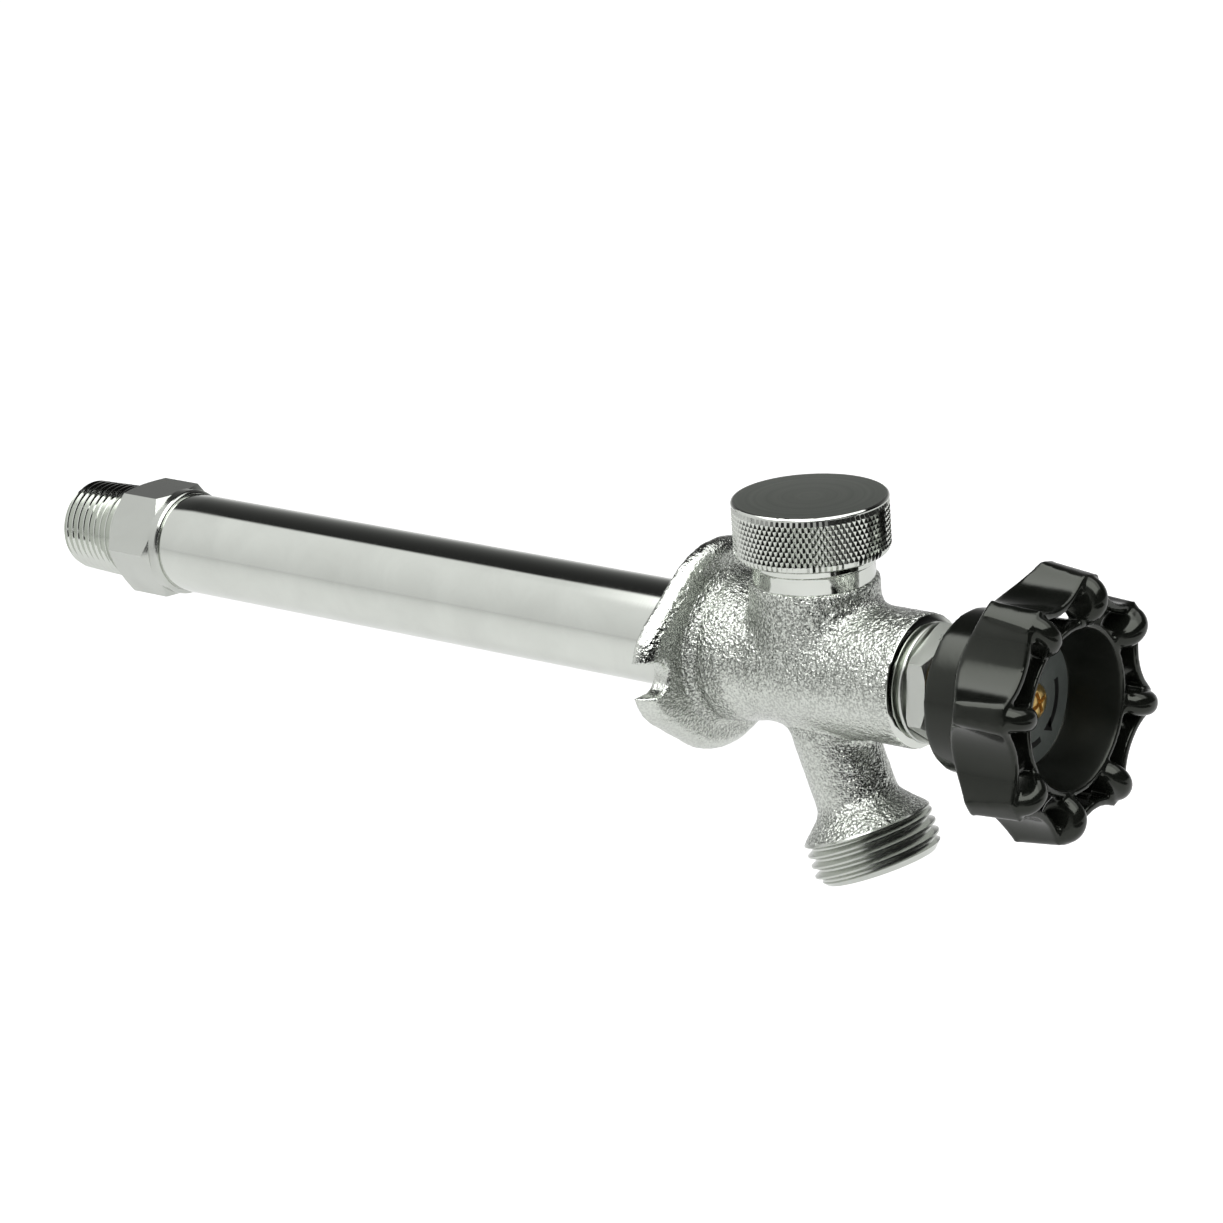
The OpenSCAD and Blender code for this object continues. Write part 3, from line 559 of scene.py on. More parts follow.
def effect(tree, name, inputs):
    """Outputs of a shared effect, which is made at its first use."""
    makers = {"sand grain": sand_grain, "hand marks": hand_marks, "tool lines": tool_lines}
    group = bpy.data.node_groups.get(name) or makers[name]()
    return put(tree, "Group", inputs, node_tree=group).outputs


def blended(tree, mask, first, second):
    """Colour between two, by a mask."""
    tones = [tone if isinstance(tone, bpy.types.NodeSocket) else (*tone, 1.0) for tone in (first, second)]
    return put(tree, "Mix", {0: mask, 6: tones[0], 7: tones[1]}, data_type="RGBA").outputs[2]


def mask_of(tree, name):
    """Mask that a piece's points carry."""
    return put(tree, "Attribute", attribute_name=name).outputs["Fac"]


def blank_finish(name):
    """New material with its shader and output."""
    material = bpy.data.materials.new(name)
    tree = bare_tree(material)
    shader = put(tree, "BsdfPrincipled")
    put(tree, "OutputMaterial", {"Surface": shader.outputs["BSDF"]})
    return material, tree, shader


def coat(tree, shader, base, rough, height, depth, strength=1.0, metallic=1.0):
    """Gives a shader its colour, roughness and metal, and a bump with its depth in metres."""
    bump = put(tree, "Bump", {"Height": height, "Strength": strength, "Distance": depth})
    fill(tree, shader, {"Base Color": base, "Roughness": rough, "Metallic": metallic,
                        "Normal": bump.outputs["Normal"]})


def cast_chrome(colours):
    """Chrome plate over a sand casting, with smoother grain and fewer dull specks, a lighter colour of
    painted sheen, where its mask is high.
    """
    material, tree, shader = blank_finish("cast chrome")
    grain = effect(tree, "sand grain", {"Grains": 1500.0})
    smooth_and_sheen = mask_of(tree, "smooth_and_sheen")
    # Fewer dull specks where the mask is high: painted sheen that lightens the colour.
    dull = product(tree, grain["Speck"], value_of(tree, "SUBTRACT", 1.0, smooth_and_sheen))
    height = product(tree, grain["Height"], ranged(tree, smooth_and_sheen, (0.0, 1.0), (1.0, 0.15)))
    coat(tree, shader, blended(tree, dull, colours.cast, colours.cast_shade),
         ranged(tree, grain["Wave"], (0.3, 0.7), (0.08, 0.14)), height, depth=0.55 * MM)
    return material


def bright_chrome(colours, name="bright chrome", axis="Y", polish=0.05, tone=1.0):
    """Chrome plate with faint lines across an axis and smudges, polished or worn to satin."""
    material, tree, shader = blank_finish(name)
    smudge = effect(tree, "hand marks", {"Spread": 70.0})["Smudge"]
    line = effect(tree, "tool lines", {"Along": parts_of(tree)[axis], "Lines": 2500.0})
    base = blended(tree, product(tree, smudge, 0.6), Vector(colours.bright) * tone,
                   Vector(colours.bright_shade) * tone)
    coat(tree, shader, base, ranged(tree, smudge, (0.0, 1.0), (polish, polish + 0.06)),
         line["Height"], depth=0.004 * MM)
    return material


def knurled_chrome(colours):
    """Chrome plate of the cap, bright on its knurled side and satin on its top, which painted shade makes
    dark.
    """
    material, tree, shader = blank_finish("knurled chrome")
    top = mask_of(tree, "cap_top")
    middle = put(tree, "Mapping", {"Vector": object_place(tree), "Scale": (1.0, 1.0, 0.0),
                                   "Location": (0, -(CAP_LOW.y + CAP_HIGH.y) / 2, 0)})
    reach = put(tree, "VectorMath", {0: middle.outputs["Vector"]}, operation="LENGTH").outputs["Value"]
    line = effect(tree, "tool lines", {"Along": reach, "Lines": 5000.0})
    smudge = effect(tree, "hand marks", {"Spread": 60.0})["Smudge"]
    side = blended(tree, smudge, colours.bright, colours.bright_shade)
    # The top's dark colour is painted shade over its satin finish.
    dark = Vector(colours.cap_top)
    satin = blended(tree, line["Shade"], dark * 0.75, dark * 1.25)
    coat(tree, shader, blended(tree, top, side, satin), ranged(tree, top, (0.0, 1.0), (0.09, 0.34)),
         product(tree, line["Height"], top), depth=0.012 * MM)
    return material


def black_enamel(colours):
    """Gloss enamel with a slight ripple, dust and smudges, dull inside the cup."""
    material, tree, shader = blank_finish("black enamel")
    marks = effect(tree, "hand marks", {"Spread": 110.0})
    dust = product(tree, marks["Smudge"], marks["Scratch"])
    dull = product(tree, marks["Smudge"], 0.06)
    rough = value_of(tree, "ADD", ranged(tree, mask_of(tree, "open_side"), (0.0, 1.0), (0.3, 0.13)), dull)
    coat(tree, shader, blended(tree, dust, colours.enamel, colours.enamel_dust), rough,
         noise(tree, scale=500.0, detail=1.0), depth=0.05 * MM, strength=0.3, metallic=0.0)
    fill(tree, shader, {"Specular IOR Level": 0.42, "Specular Tint": (0.95, 1.0, 0.89, 1.0)})
    return material


def turned_metal(name, clean, tarnish, axis, gloss):
    """Turned metal with tool lines across an axis and tarnish."""
    material, tree, shader = blank_finish(name)
    line = effect(tree, "tool lines", {"Along": parts_of(tree)[axis], "Lines": 3000.0})
    marks = effect(tree, "hand marks", {"Spread": 260.0})
    coat(tree, shader, blended(tree, product(tree, marks["Smudge"], 0.7), clean, tarnish),
         ranged(tree, marks["Scratch"], (0.3, 0.7), (gloss, gloss + 0.16)), line["Height"],
         depth=0.015 * MM)
    return material


def mottled(name, light, shade, gloss, spread, depth, strength):
    """Paint, plastic or rubber in two close tones, with a fine grain."""
    material, tree, shader = blank_finish(name)
    marks = effect(tree, "hand marks", {"Spread": spread})
    coat(tree, shader, blended(tree, marks["Smudge"], light, shade),
         ranged(tree, marks["Scratch"], (0.3, 0.7), (gloss, gloss + 0.15)), marks["Scratch"], depth,
         strength=strength, metallic=0.0)
    return material


def moulded(name, tone, gloss):
    """Moulded plastic or rubber, and thick print, with a fine mould grain."""
    return mottled(name, tone, Vector(tone) * 0.7, gloss, spread=300.0, depth=0.02 * MM, strength=0.5)


def finish(name):
    """Finish by its name, made at its first use."""
    colours = bpy.context.scene.sillcock_colours
    index, steel = Vector(colours.index), Vector(colours.steel)
    makers = {
        "cast chrome": lambda: cast_chrome(colours),
        "bright chrome": lambda: bright_chrome(colours),
        "upright chrome": lambda: bright_chrome(colours, name, axis="Z"),
        "satin chrome": lambda: bright_chrome(colours, name, polish=0.26, tone=0.86),
        "worn chrome": lambda: bright_chrome(colours, name, axis="Z", polish=0.16, tone=0.85),
        "knurled chrome": lambda: knurled_chrome(colours),
        "black enamel": lambda: black_enamel(colours),
        # Index plate in grey-green, darkened by painted shade from the cup.
        "index plate metal": lambda: mottled(name, index * 1.1, index * 0.85, gloss=0.3, spread=160.0,
                                             depth=0.01 * MM, strength=0.4),
        "index print": lambda: moulded(name, colours.print, gloss=0.4),
        "brass": lambda: turned_metal(name, colours.brass, colours.brass_shade, axis="Y", gloss=0.2),
        "copper rod": lambda: turned_metal(name, colours.rod, colours.brass_shade, axis="X", gloss=0.25),
        "spring steel": lambda: turned_metal(name, steel, steel * 0.6, axis="Y", gloss=0.25),
        "white plastic": lambda: moulded(name, colours.plastic, gloss=0.4),
        "black rubber": lambda: moulded(name, colours.rubber, gloss=0.6),
    }
    return bpy.data.materials.get(name) or makers[name]()


# Casting

def on_breaker(s):
    """Place of the vacuum breaker's upright axis."""
    return Matrix.Translation((0, -s.breaker_depth, 0))


def on_spout(s):
    """Place of the spout's axis, which leans away from the wall."""
    lean = Matrix.Rotation(math.pi - s.spout_tilt, 4, "X")
    return Matrix.Translation((0, -s.spout_depth, 0)) @ lean


def flange_plate(s):
    """Wall flange with rounded edges and two open screw slots."""
    ends = ((0, s.flange_radius), (-s.flange_tip_offset, s.flange_tip_radius),
            (s.flange_tip_offset, s.flange_tip_radius))
    plate = hull_of([round_bar("flange", radius, 0, s.flange_thickness, DEPTH, (x, 0))
                     for x, radius in ends])
    select_points(plate, lambda at: at.y < 0.01 * MM - s.flange_thickness)
    bpy.ops.mesh.bevel(offset=s.flange_round, segments=6, affect="EDGES")
    bpy.ops.object.mode_set(mode="OBJECT")
    radius, through = s.slot_width / 2, s.flange_thickness + OVER
    for side in (-1, 1):
        slot = hull_of([round_bar("slot", radius, -OVER, through, DEPTH, (side * x, 0), steps=48)
                        for x in (s.slot_offset, 2 * s.slot_offset)])
        combined(plate, slot, "DIFFERENCE")
    bevelled(plate, s.flange_edge, segments=3, angle=50)
    return cleaned(plate)


def spout_outline(s):
    """Spout with a hollow where it widens to the hose thread."""
    bend = s.flare_hollow
    start = s.flare_start - bend * (math.sqrt(2) - 1)
    rim = s.hose_radius - 0.15 * MM
    end = s.flare_start + rim - s.spout_radius
    return [(0, 0), (s.spout_radius, 0), *arc(s.spout_radius + bend, start, bend, 180, 135),
            (rim, end), (rim, end + 0.3 * MM), (0, end + 0.3 * MM)]


def bores(s):
    """Waterways of the casting as one tool."""
    middle = 2 * OVER
    main = stepped("bores", -OVER, [
        (s.tube_radius + 0.05 * MM, s.socket_depth), (s.chamber_radius, s.shoulder_depth),
        (s.front_bore, s.barrel_length + OVER)], DEPTH)
    rise = stepped("breaker bore", middle, [(s.port_radius, s.ledge_height), (s.breaker_bore, s.neck_top)],
                   on_breaker(s))
    fall = stepped("spout bore", middle, [(s.spout_bore, s.spout_length - s.mouth_length),
                                          (s.mouth_radius, s.spout_length + OVER)], on_spout(s))
    combined(main, rise, "UNION")
    return combined(main, fall, "UNION")


class SILLCOCK_OT_casting(bpy.types.Operator):
    """Models the cast body with its flange, barrel, boss and spout"""

    bl_idname = "sillcock.casting"
    bl_label = "Casting"

    def execute(self, context):
        s = context.scene.sillcock_sizes
        front = s.barrel_length - s.ring_bevel
        face = s.flange_thickness
        plate = flange_plate(s)
        hollow = 2.6 * MM
        foot = s.root_radius + 2.2 * MM
        swell = [(s.root_radius - drop * MM, face + far * MM)
                 for drop, far in ((0, 3.4), (0.05, 4.5), (0.3, 6.5))]
        run_out = [(s.barrel_radius + rise * MM, face + far * MM)
                   for rise, far in ((0.6, 9.0), (0.1, 11.5), (0, 13.5))]
        barrel = turned("barrel", [
            (0, MM), (foot, MM), *arc(foot, face + hollow, hollow, 270, 195), *swell, *run_out,
            (s.barrel_radius, front), (0, front)], DEPTH)
        edge = 0.8 * MM
        boss = turned("boss", [
            (0, 0), (s.boss_radius, 0), *arc(s.boss_radius - edge, s.boss_top - edge, edge, 0, 90, 5),
            (0, s.boss_top)], on_breaker(s))
        spout = turned("spout", spout_outline(s), on_spout(s))
        body = joined("casting", [plate, barrel, boss, spout])
        modified(body, "REMESH", mode="VOXEL", voxel_size=0.42 * MM)

        to_spout = on_spout(s).inverted()
        blend = 3.4 * MM
        ring_side, flange_side = -front + 4 * MM, -15 * MM
        boss_edge = s.boss_top - 2.2 * MM

        def on_barrel(at):
            return abs(math.hypot(at.x, at.z) - s.barrel_radius) < blend

        def boss_root(at):
            reach = math.hypot(at.x, at.y + s.breaker_depth)
            return (0 < at.z < boss_edge and ring_side < at.y < flange_side and on_barrel(at)
                    and abs(reach - s.boss_radius) < blend)

        def spout_root(at):
            local = to_spout @ at
            return (at.z < 0 and at.y < -face - MM and on_barrel(at)
                    and abs(math.hypot(local.x, local.y) - s.spout_radius) < blend)

        def barrel_root(at):
            reach = math.hypot(at.x, at.z) - s.root_radius
            return -MM < reach < 4 * MM and -3 * MM < at.y + face < MM

        soften(body, lambda at: boss_root(at) or spout_root(at), repeat=90)
        soften(body, barrel_root, repeat=12)
        soften(body, lambda at: True, repeat=2)
        combined(body, bores(s), "DIFFERENCE")
        cleaned(body)
        for scale, strength in ((2.4 * MM, 0.14 * MM), (1.1 * MM, 0.12 * MM)):
            skin = bpy.data.textures.new("casting skin", "CLOUDS")
            skin.noise_scale = scale
            skin.noise_depth = 1
            modified(body, "DISPLACE", texture=skin, texture_coords="LOCAL", strength=strength,
                     mid_level=0.55)
        # Mask of smoother grain and painted sheen.
        marked(body, "smooth_and_sheen", lambda point: self.smooth_and_sheen(s, to_spout, point))
        finished(body, "valve_body", "cast_chrome", "cast chrome", "body_casting", angle=50)
        return {"FINISHED"}

    def smooth_and_sheen(self, s, to_spout, point):
        """How smooth a point is and how far its colour is lightened as painted sheen: the flange, most at
        its edge, the barrel below and the spout.
        """
        at = point.co
        reach = math.hypot(at.x, at.z)
        if -at.y < s.flange_thickness + 0.2 * MM and reach > s.root_radius + 1.5 * MM:
            sideways = math.hypot(point.normal.x, point.normal.z)
            return 0.3 + 0.45 * part_way(sideways, 0.2, 0.5)
        if abs(reach - s.barrel_radius) < 0.8 * MM:
            return 0.5 * part_way(at.z, 2 * MM, -4 * MM)
        if at.z < -s.barrel_radius:
            return 0.45 * part_way((to_spout @ at).z, s.flare_start + MM, s.flare_start - 2 * MM)
        return 0.0


class SILLCOCK_OT_turned_ends(bpy.types.Operator):
    """Models the turned bevel at the barrel's front and the neck under the cap"""

    bl_idname = "sillcock.turned_ends"
    bl_label = "Turned ring and neck"

    def execute(self, context):
        s = context.scene.sillcock_sizes
        front = s.barrel_length - 0.05 * MM
        back = s.barrel_length - s.ring_bevel
        outer = s.barrel_radius - 0.2 * MM
        inner = s.nut_collar - 0.3 * MM
        middle = (outer + inner) / 2 + 0.1 * MM
        ring = turned("barrel_lip", [
            (s.front_bore, back - MM), (outer - 0.3 * MM, back - MM), (outer, back - 0.2 * MM),
            (outer - 0.1 * MM, back + 0.1 * MM), (middle, back + 0.55 * s.ring_bevel),
            (inner, front), (s.front_bore, front)], DEPTH, closed=True)
        finished(ring, "valve_body", "bright_chrome", "bright chrome", "body_casting")
        low = s.boss_top - 0.9 * MM
        step = s.boss_top + 3.0 * MM
        edge = 0.4 * MM
        collar = s.neck_collar - edge
        neck = turned("breaker_neck", [
            (s.breaker_bore, low), (s.neck_radius, low), (s.neck_radius, step),
            *arc(collar, step + 2 * edge, edge, -60, 0, 4), (s.neck_collar, s.neck_top - edge),
            (collar, s.neck_top), (s.breaker_bore, s.neck_top)], on_breaker(s), closed=True)
        finished(neck, "valve_body", "bright_chrome", "upright chrome", "body_casting")
        return {"FINISHED"}


class SILLCOCK_OT_hose_thread(bpy.types.Operator):
    """Models the outlet with its helical hose thread"""

    bl_idname = "sillcock.hose_thread"
    bl_label = "Hose thread"

    def execute(self, context):
        s = context.scene.sillcock_sizes
        root = s.hose_radius - s.hose_tooth
        top = s.spout_length - s.mouth_length
        start = s.flare_start + s.hose_radius - s.spout_radius
        bevel = 0.45 * MM
        foot = 1.5 * MM
        rim = s.hose_radius - 0.1 * MM
        core = turned("hose_thread", [
            (0, start - foot), (rim - foot, start - foot), (rim, start), (rim, start + 0.25 * MM),
            (root, start + 0.9 * MM), (root, s.spout_length - bevel), (root - bevel, s.spout_length),
            (0, s.spout_length)])
        lowest, part_turn = start + 2.4 * MM, math.radians(228) / math.tau
        first = lowest - s.hose_pitch * (1 + part_turn)
        ridge = thread_ridge(root, s.hose_radius, s.hose_pitch, s.hose_pitch / 6, first, turns=5)
        combined(core, ridge, "UNION")
        lead = start + 7.2 * MM
        envelope = turned("envelope", [
            (0, start - foot), (rim - foot, start - foot), (rim, start),
            (s.hose_radius, start + 0.1 * MM), (s.hose_radius, lead), (root - bevel, s.spout_length),
            (0, s.spout_length)])
        combined(core, envelope, "INTERSECT")
        below = start - 2 * OVER
        bore = turned("outlet bore", [
            (0, below), (s.spout_bore, below), (s.spout_bore, top), (s.mouth_radius, top),
            (s.mouth_radius, s.spout_length - bevel), (s.mouth_radius + 2 * bevel, s.spout_length + bevel),
            (0, s.spout_length + bevel)])
        combined(core, bore, "DIFFERENCE")
        place(cleaned(core), on_spout(s))
        finished(core, "valve_body", "bright_chrome", "worn chrome", "body_casting", angle=25)
        return {"FINISHED"}


class SILLCOCK_OT_supply_tube(bpy.types.Operator):
    """Models the supply tube with rounded ends"""

    bl_idname = "sillcock.supply_tube"
    bl_label = "Supply tube"

    def execute(self, context):
        s = context.scene.sillcock_sizes
        bore = s.tube_radius - s.tube_wall
        edge = 0.3 * MM
        near, far, parts = -s.socket_depth, s.tube_length, 24
        rings = [near + (far - near) * i / parts for i in range(1, parts)]
        tube = turned("chrome_tube", [
            (bore, near), *arc(s.tube_radius - edge, near + edge, edge, 270, 360, 4),
            *((s.tube_radius, ring) for ring in rings),
            *arc(s.tube_radius - edge, far - edge, edge, 0, 90, 4), (bore, far)], INWARD, closed=True)
        finished(tube, "valve_body", "bright_chrome", "bright chrome", "supply_tube")
        return {"FINISHED"}


class SILLCOCK_OT_inlet(bpy.types.Operator):
    """Models the inlet hexagon with its tapered pipe thread and solder cup"""

    bl_idname = "sillcock.inlet"
    bl_label = "Inlet"

    def execute(self, context):
        s = context.scene.sillcock_sizes
        near = s.tube_length
        far = near + s.inlet_hex_length
        end = INLET_HIGH.y
        step = near + s.inlet_collar_length
        thread_side, tube_side = (2.0 * MM, 1.3 * MM), (1.7 * MM, 1.2 * MM)
        body = hexagon("inlet_hexagon", s.inlet_flats, step, far, thread_side, tube_side, math.radians(30))
        edge = 0.9 * MM
        inside = step + 0.5 * MM
        collar = turned("collar", [
            (0, near), (s.inlet_collar - edge, near),
            *arc(s.inlet_collar - edge, near + edge, edge, 270, 360, 10),
            (s.inlet_collar, inside), (0, inside)])
        combined(body, collar, "UNION")
        waterway = round_bar("waterway", s.seat_bore, near - OVER, far + OVER)
        combined(body, waterway, "DIFFERENCE")
        bevelled(body, 0.18 * MM, segments=2, angle=20)
        place(cleaned(body, BEVEL_GAP), INWARD)
        finished(body, "valve_body", "cast_chrome", "worn chrome", "inlet_fitting", angle=12)

        taper = 1 / 32
        root = s.pipe_radius - s.pipe_tooth
        start = far - 0.3 * MM
        core = turned("pipe_thread", [
            (0, start), (root, start), (root - taper * (end - start), end), (0, end)])
        ridge = thread_ridge(root, s.pipe_radius, s.pipe_pitch, s.pipe_pitch / 8, far, turns=10,
                             shrink=taper)
        combined(core, ridge, "UNION")
        rim = s.pipe_radius - taper * (end - start)
        lead = 1.3 * MM
        envelope = turned("envelope", [
            (0, start), (s.pipe_radius, start), (rim, end - lead), (rim - lead, end), (0, end)])
        combined(core, envelope, "INTERSECT")
        cup = stepped("solder cup", start - OVER, [(s.seat_bore, end - s.solder_depth),
                                                   (s.solder_cup, end + OVER)])
        combined(core, cup, "DIFFERENCE")
        place(cleaned(core), INWARD)
        finished(core, "valve_body", "cast_chrome", "bright chrome", "inlet_fitting", angle=25)

        lip = s.seat_bore + 1.2 * MM
        seat, shoulder, inside = s.seat_distance, s.seat_distance + 0.8 * MM, near + 0.2 * MM
        spigot = turned("inlet_spigot", [
            (s.seat_bore, seat), (lip, seat), (lip, shoulder), (s.spigot_radius, shoulder),
            (s.spigot_radius, inside), (s.seat_bore, inside)], INWARD, closed=True)
        finished(spigot, "valve_body", "cast_chrome", "brass", "inlet_fitting")
        return {"FINISHED"}


class SILLCOCK_OT_breaker_cap(bpy.types.Operator):
    """Models the breaker cap with its diamond knurl"""

    bl_idname = "sillcock.breaker_cap"
    bl_label = "Breaker cap"

    def execute(self, context):
        s = context.scene.sillcock_sizes
        low, high = CAP_LOW.z, CAP_HIGH.z
        roof = high - s.cap_roof
        skin = s.cap_radius - s.knurl_height
        first, last = low + s.cap_foot, high - s.cap_bevel - 0.2 * MM
        rise = (last - first) / s.knurl_rows
        rows = [(skin, first + rise * i) for i in range(s.knurl_rows + 1)]
        cap = turned("knurled_cap", [
            (0, roof), (s.cap_bore, roof), (s.cap_bore, low), (skin - s.cap_foot, low), *rows,
            (s.cap_radius, last + 0.12 * MM), *arc(s.cap_radius - s.cap_bevel, high - s.cap_bevel,
                                                  s.cap_bevel, 15, 75, 3),
            (s.cap_radius - s.cap_bevel - 0.1 * MM, high), (0, high)], steps=2 * s.knurl_columns)

        near = 0.05 * MM

        def on_knurl(at, parity):
            row = round((at.z - first) / rise)
            if abs(math.hypot(at.x, at.y) - skin) > near or not 0 < row < s.knurl_rows:
                return False
            if abs(at.z - first - rise * row) > near:
                return False
            column = round(math.atan2(at.y, at.x) / math.tau * 2 * s.knurl_columns)
            return (row + column) % 2 == parity

        select_points(cap, lambda at: on_knurl(at, 0))
        grow = s.cap_radius / skin
        bpy.ops.transform.resize(value=(grow, grow, 1), center_override=(0, 0, 0))
        bpy.ops.object.mode_set(mode="OBJECT")
        select_points(cap, lambda at: on_knurl(at, 1))
        bpy.ops.mesh.vert_connect()
        bpy.ops.object.mode_set(mode="OBJECT")
        # Mask of the cap's top, which gets its satin finish and painted shade.
        marked(cap, "cap_top", lambda point: 1.0 if point.co.z > high - 0.01 * MM else 0.0)
        place(cap, on_breaker(s))
        finished(cap, "valve_body", "knurled_chrome", "knurled chrome", "breaker_cap", angle=20)
        return {"FINISHED"}


class SILLCOCK_OT_packing_nut(bpy.types.Operator):
    """Models the packing nut with its round collar"""

    bl_idname = "sillcock.packing_nut"
    bl_label = "Packing nut"

    def execute(self, context):
        s = context.scene.sillcock_sizes
        front, back, barrel = -NUT_LOW.y, -NUT_HIGH.y, s.barrel_length
        hex_back, hex_front = (0.7 * MM, 0.4 * MM), (s.nut_bevel, 0.9 * MM)
        nut = hexagon("chrome_nut", s.nut_flats, s.nut_hex_depth - 0.3 * MM, front, hex_front, hex_back,
                      math.radians(-6))
        edge = 0.35 * MM
        collar_back, collar_front = barrel + 0.9 * MM, barrel + 1.7 * MM
        plug, inside = s.front_bore - 0.05 * MM, barrel - 0.5 * MM
        groove, waist = s.nut_collar - 1.8 * MM, s.nut_flats / 2 - 0.6 * MM
        collar = turned("collar", [
            (0, back), (plug, back), (plug, inside), (groove, inside), (groove, collar_back),
            *arc(s.nut_collar - edge, collar_back + edge, edge, 270, 360, 10),
            *arc(s.nut_collar - edge, collar_front - edge, edge, 0, 90, 10),
            (waist, collar_front), (waist, s.nut_hex_depth), (0, s.nut_hex_depth)])
        combined(nut, collar, "UNION")
        bore = stepped("stem bore", back - OVER, [(s.packing_radius, s.packing_depth),
                                                  (s.stem_hole, front + OVER)])
        combined(nut, bore, "DIFFERENCE")
        bevelled(nut, 0.16 * MM, segments=2, angle=20)
        place(cleaned(nut, BEVEL_GAP), DEPTH)
        finished(nut, "valve_body", "bright_chrome", "satin chrome", "packing_nut", angle=12)
        return {"FINISHED"}


# Handle

def wavy_bar(s, inset, low, high):
    """Bar with the outline of the lobes, moved inwards by an inset."""
    bar = round_bar("wave", s.lobe_radius - inset, low, high, steps=240)
    for i in range(s.lobes):
        angle = math.pi / 2 - s.lobe_turn - (i + 0.5) * math.tau / s.lobes
        reach = s.valley_radius + s.bite_radius
        bite = round_bar("bite", s.bite_radius + inset, low - OVER, high + OVER,
                         offset=(reach * math.cos(angle), reach * math.sin(angle)))
        combined(bar, bite, "DIFFERENCE")
    return bar


def wavy_rim(s):
    """Thin wavy rim that sweeps back in a hollow curve to the skirt."""
    rise, curve, count = 11.8 * MM, 0.67, 10
    root = s.rim_back - rise
    reach = s.lobe_radius - s.skirt_radius
    sweep = [(s.skirt_radius + reach * i / count, root + rise * (i / count) ** curve)
             for i in range(count + 1)]
    rim = turned("rim", [(0, root), *sweep, (s.lobe_front_radius, s.rim_front), (0, s.rim_front)])
    ends = root - OVER, s.rim_front + OVER
    combined(rim, wavy_bar(s, 0, *ends), "INTERSECT")
    return combined(rim, wavy_bar(s, s.rim_thickness, *ends), "DIFFERENCE")


def fingers(s):
    """Thick round fingers between the cup and the lobes, one for each lobe."""
    made = []
    half = s.finger_thickness / 2 - s.finger_edge
    flat = s.finger_radius - s.finger_edge
    depth = -WHEEL_LOW.y - s.finger_radius
    for i in range(s.lobes):
        angle = math.pi / 2 - s.lobe_turn - i * math.tau / s.lobes
        stand = Matrix.Rotation(angle, 4, "Z") @ Matrix.Translation((s.finger_offset, 0, depth)) @ DEPTH
        made.append(turned("finger", [
            (0, -half - s.finger_edge), *arc(flat, -half, s.finger_edge, -90, 0),
            *arc(flat, half, s.finger_edge, 0, 90), (0, half + s.finger_edge)], stand, steps=48))
    return made


class SILLCOCK_OT_handle_wheel(bpy.types.Operator):
    """Models the lobed wheel handle with its cup and skirt"""

    bl_idname = "sillcock.handle_wheel"
    bl_label = "Wheel handle"

    def execute(self, context):
        s = context.scene.sillcock_sizes
        floor_back = s.cup_floor - s.floor_thickness
        inside = s.skirt_radius - s.wheel_wall
        cup = turned("cup", [
            (0, s.cup_floor), (s.cup_floor_radius, s.cup_floor), (s.cup_radius - s.cup_edge, s.cup_depth),
            (s.cup_radius, s.cup_depth), (s.skirt_radius, s.skirt_depth), (inside, s.skirt_depth),
            (inside, floor_back), (s.hub_radius, floor_back), (s.hub_radius, s.hub_back), (0, s.hub_back)])
        wheel = joined("black_wheel", [cup, wavy_rim(s), *fingers(s)])
        modified(wheel, "REMESH", mode="VOXEL", voxel_size=0.36 * MM)
        soften(wheel, lambda at: True, repeat=5)
        step, half_tip = math.tau / s.lobes, math.radians(7.5)
        outside = s.lobe_front_radius - 0.6 * MM
        tip_back, tip_front = s.rim_back + 0.6 * MM, s.rim_front - 0.3 * MM

        def lobe_tip(at):
            turn = (math.pi / 2 - s.lobe_turn - math.atan2(at.y, at.x)) % step
            return (min(turn, step - turn) < half_tip and math.hypot(at.x, at.y) > outside
                    and tip_back < at.z < tip_front)

        soften(wheel, lobe_tip, repeat=25)
        screw_hole = round_bar("screw hole", SCREW_HOLE, s.hub_back, s.cup_floor + OVER)
        combined(wheel, screw_hole, "DIFFERENCE")
        low, high = s.hub_back - OVER, s.cup_floor - s.floor_thickness / 2
        socket = block(Matrix.Translation((0, 0, (low + high) / 2))
                       @ Matrix.Diagonal((s.square_width, s.square_width, high - low, 1)))
        combined(wheel, socket, "DIFFERENCE")
        marked(wheel, "open_side", lambda point: self.open_side(s, point))
        place(cleaned(wheel), DEPTH)
        finished(wheel, "spindle", "black_paint", "black enamel", "handle_wheel", angle=60)
        return {"FINISHED"}

    def open_side(self, s, point):
        """1 on all but the cup's inside, where the enamel stays dull."""
        reach = math.hypot(point.co.x, point.co.y)
        inside = reach < s.cup_radius - s.wheel_wall / 2 and point.co.z > s.cup_floor - MM
        front = point.normal.z > 0.7 and point.co.z > s.cup_floor + 4 * MM
        return 0.0 if inside and not front else 1.0


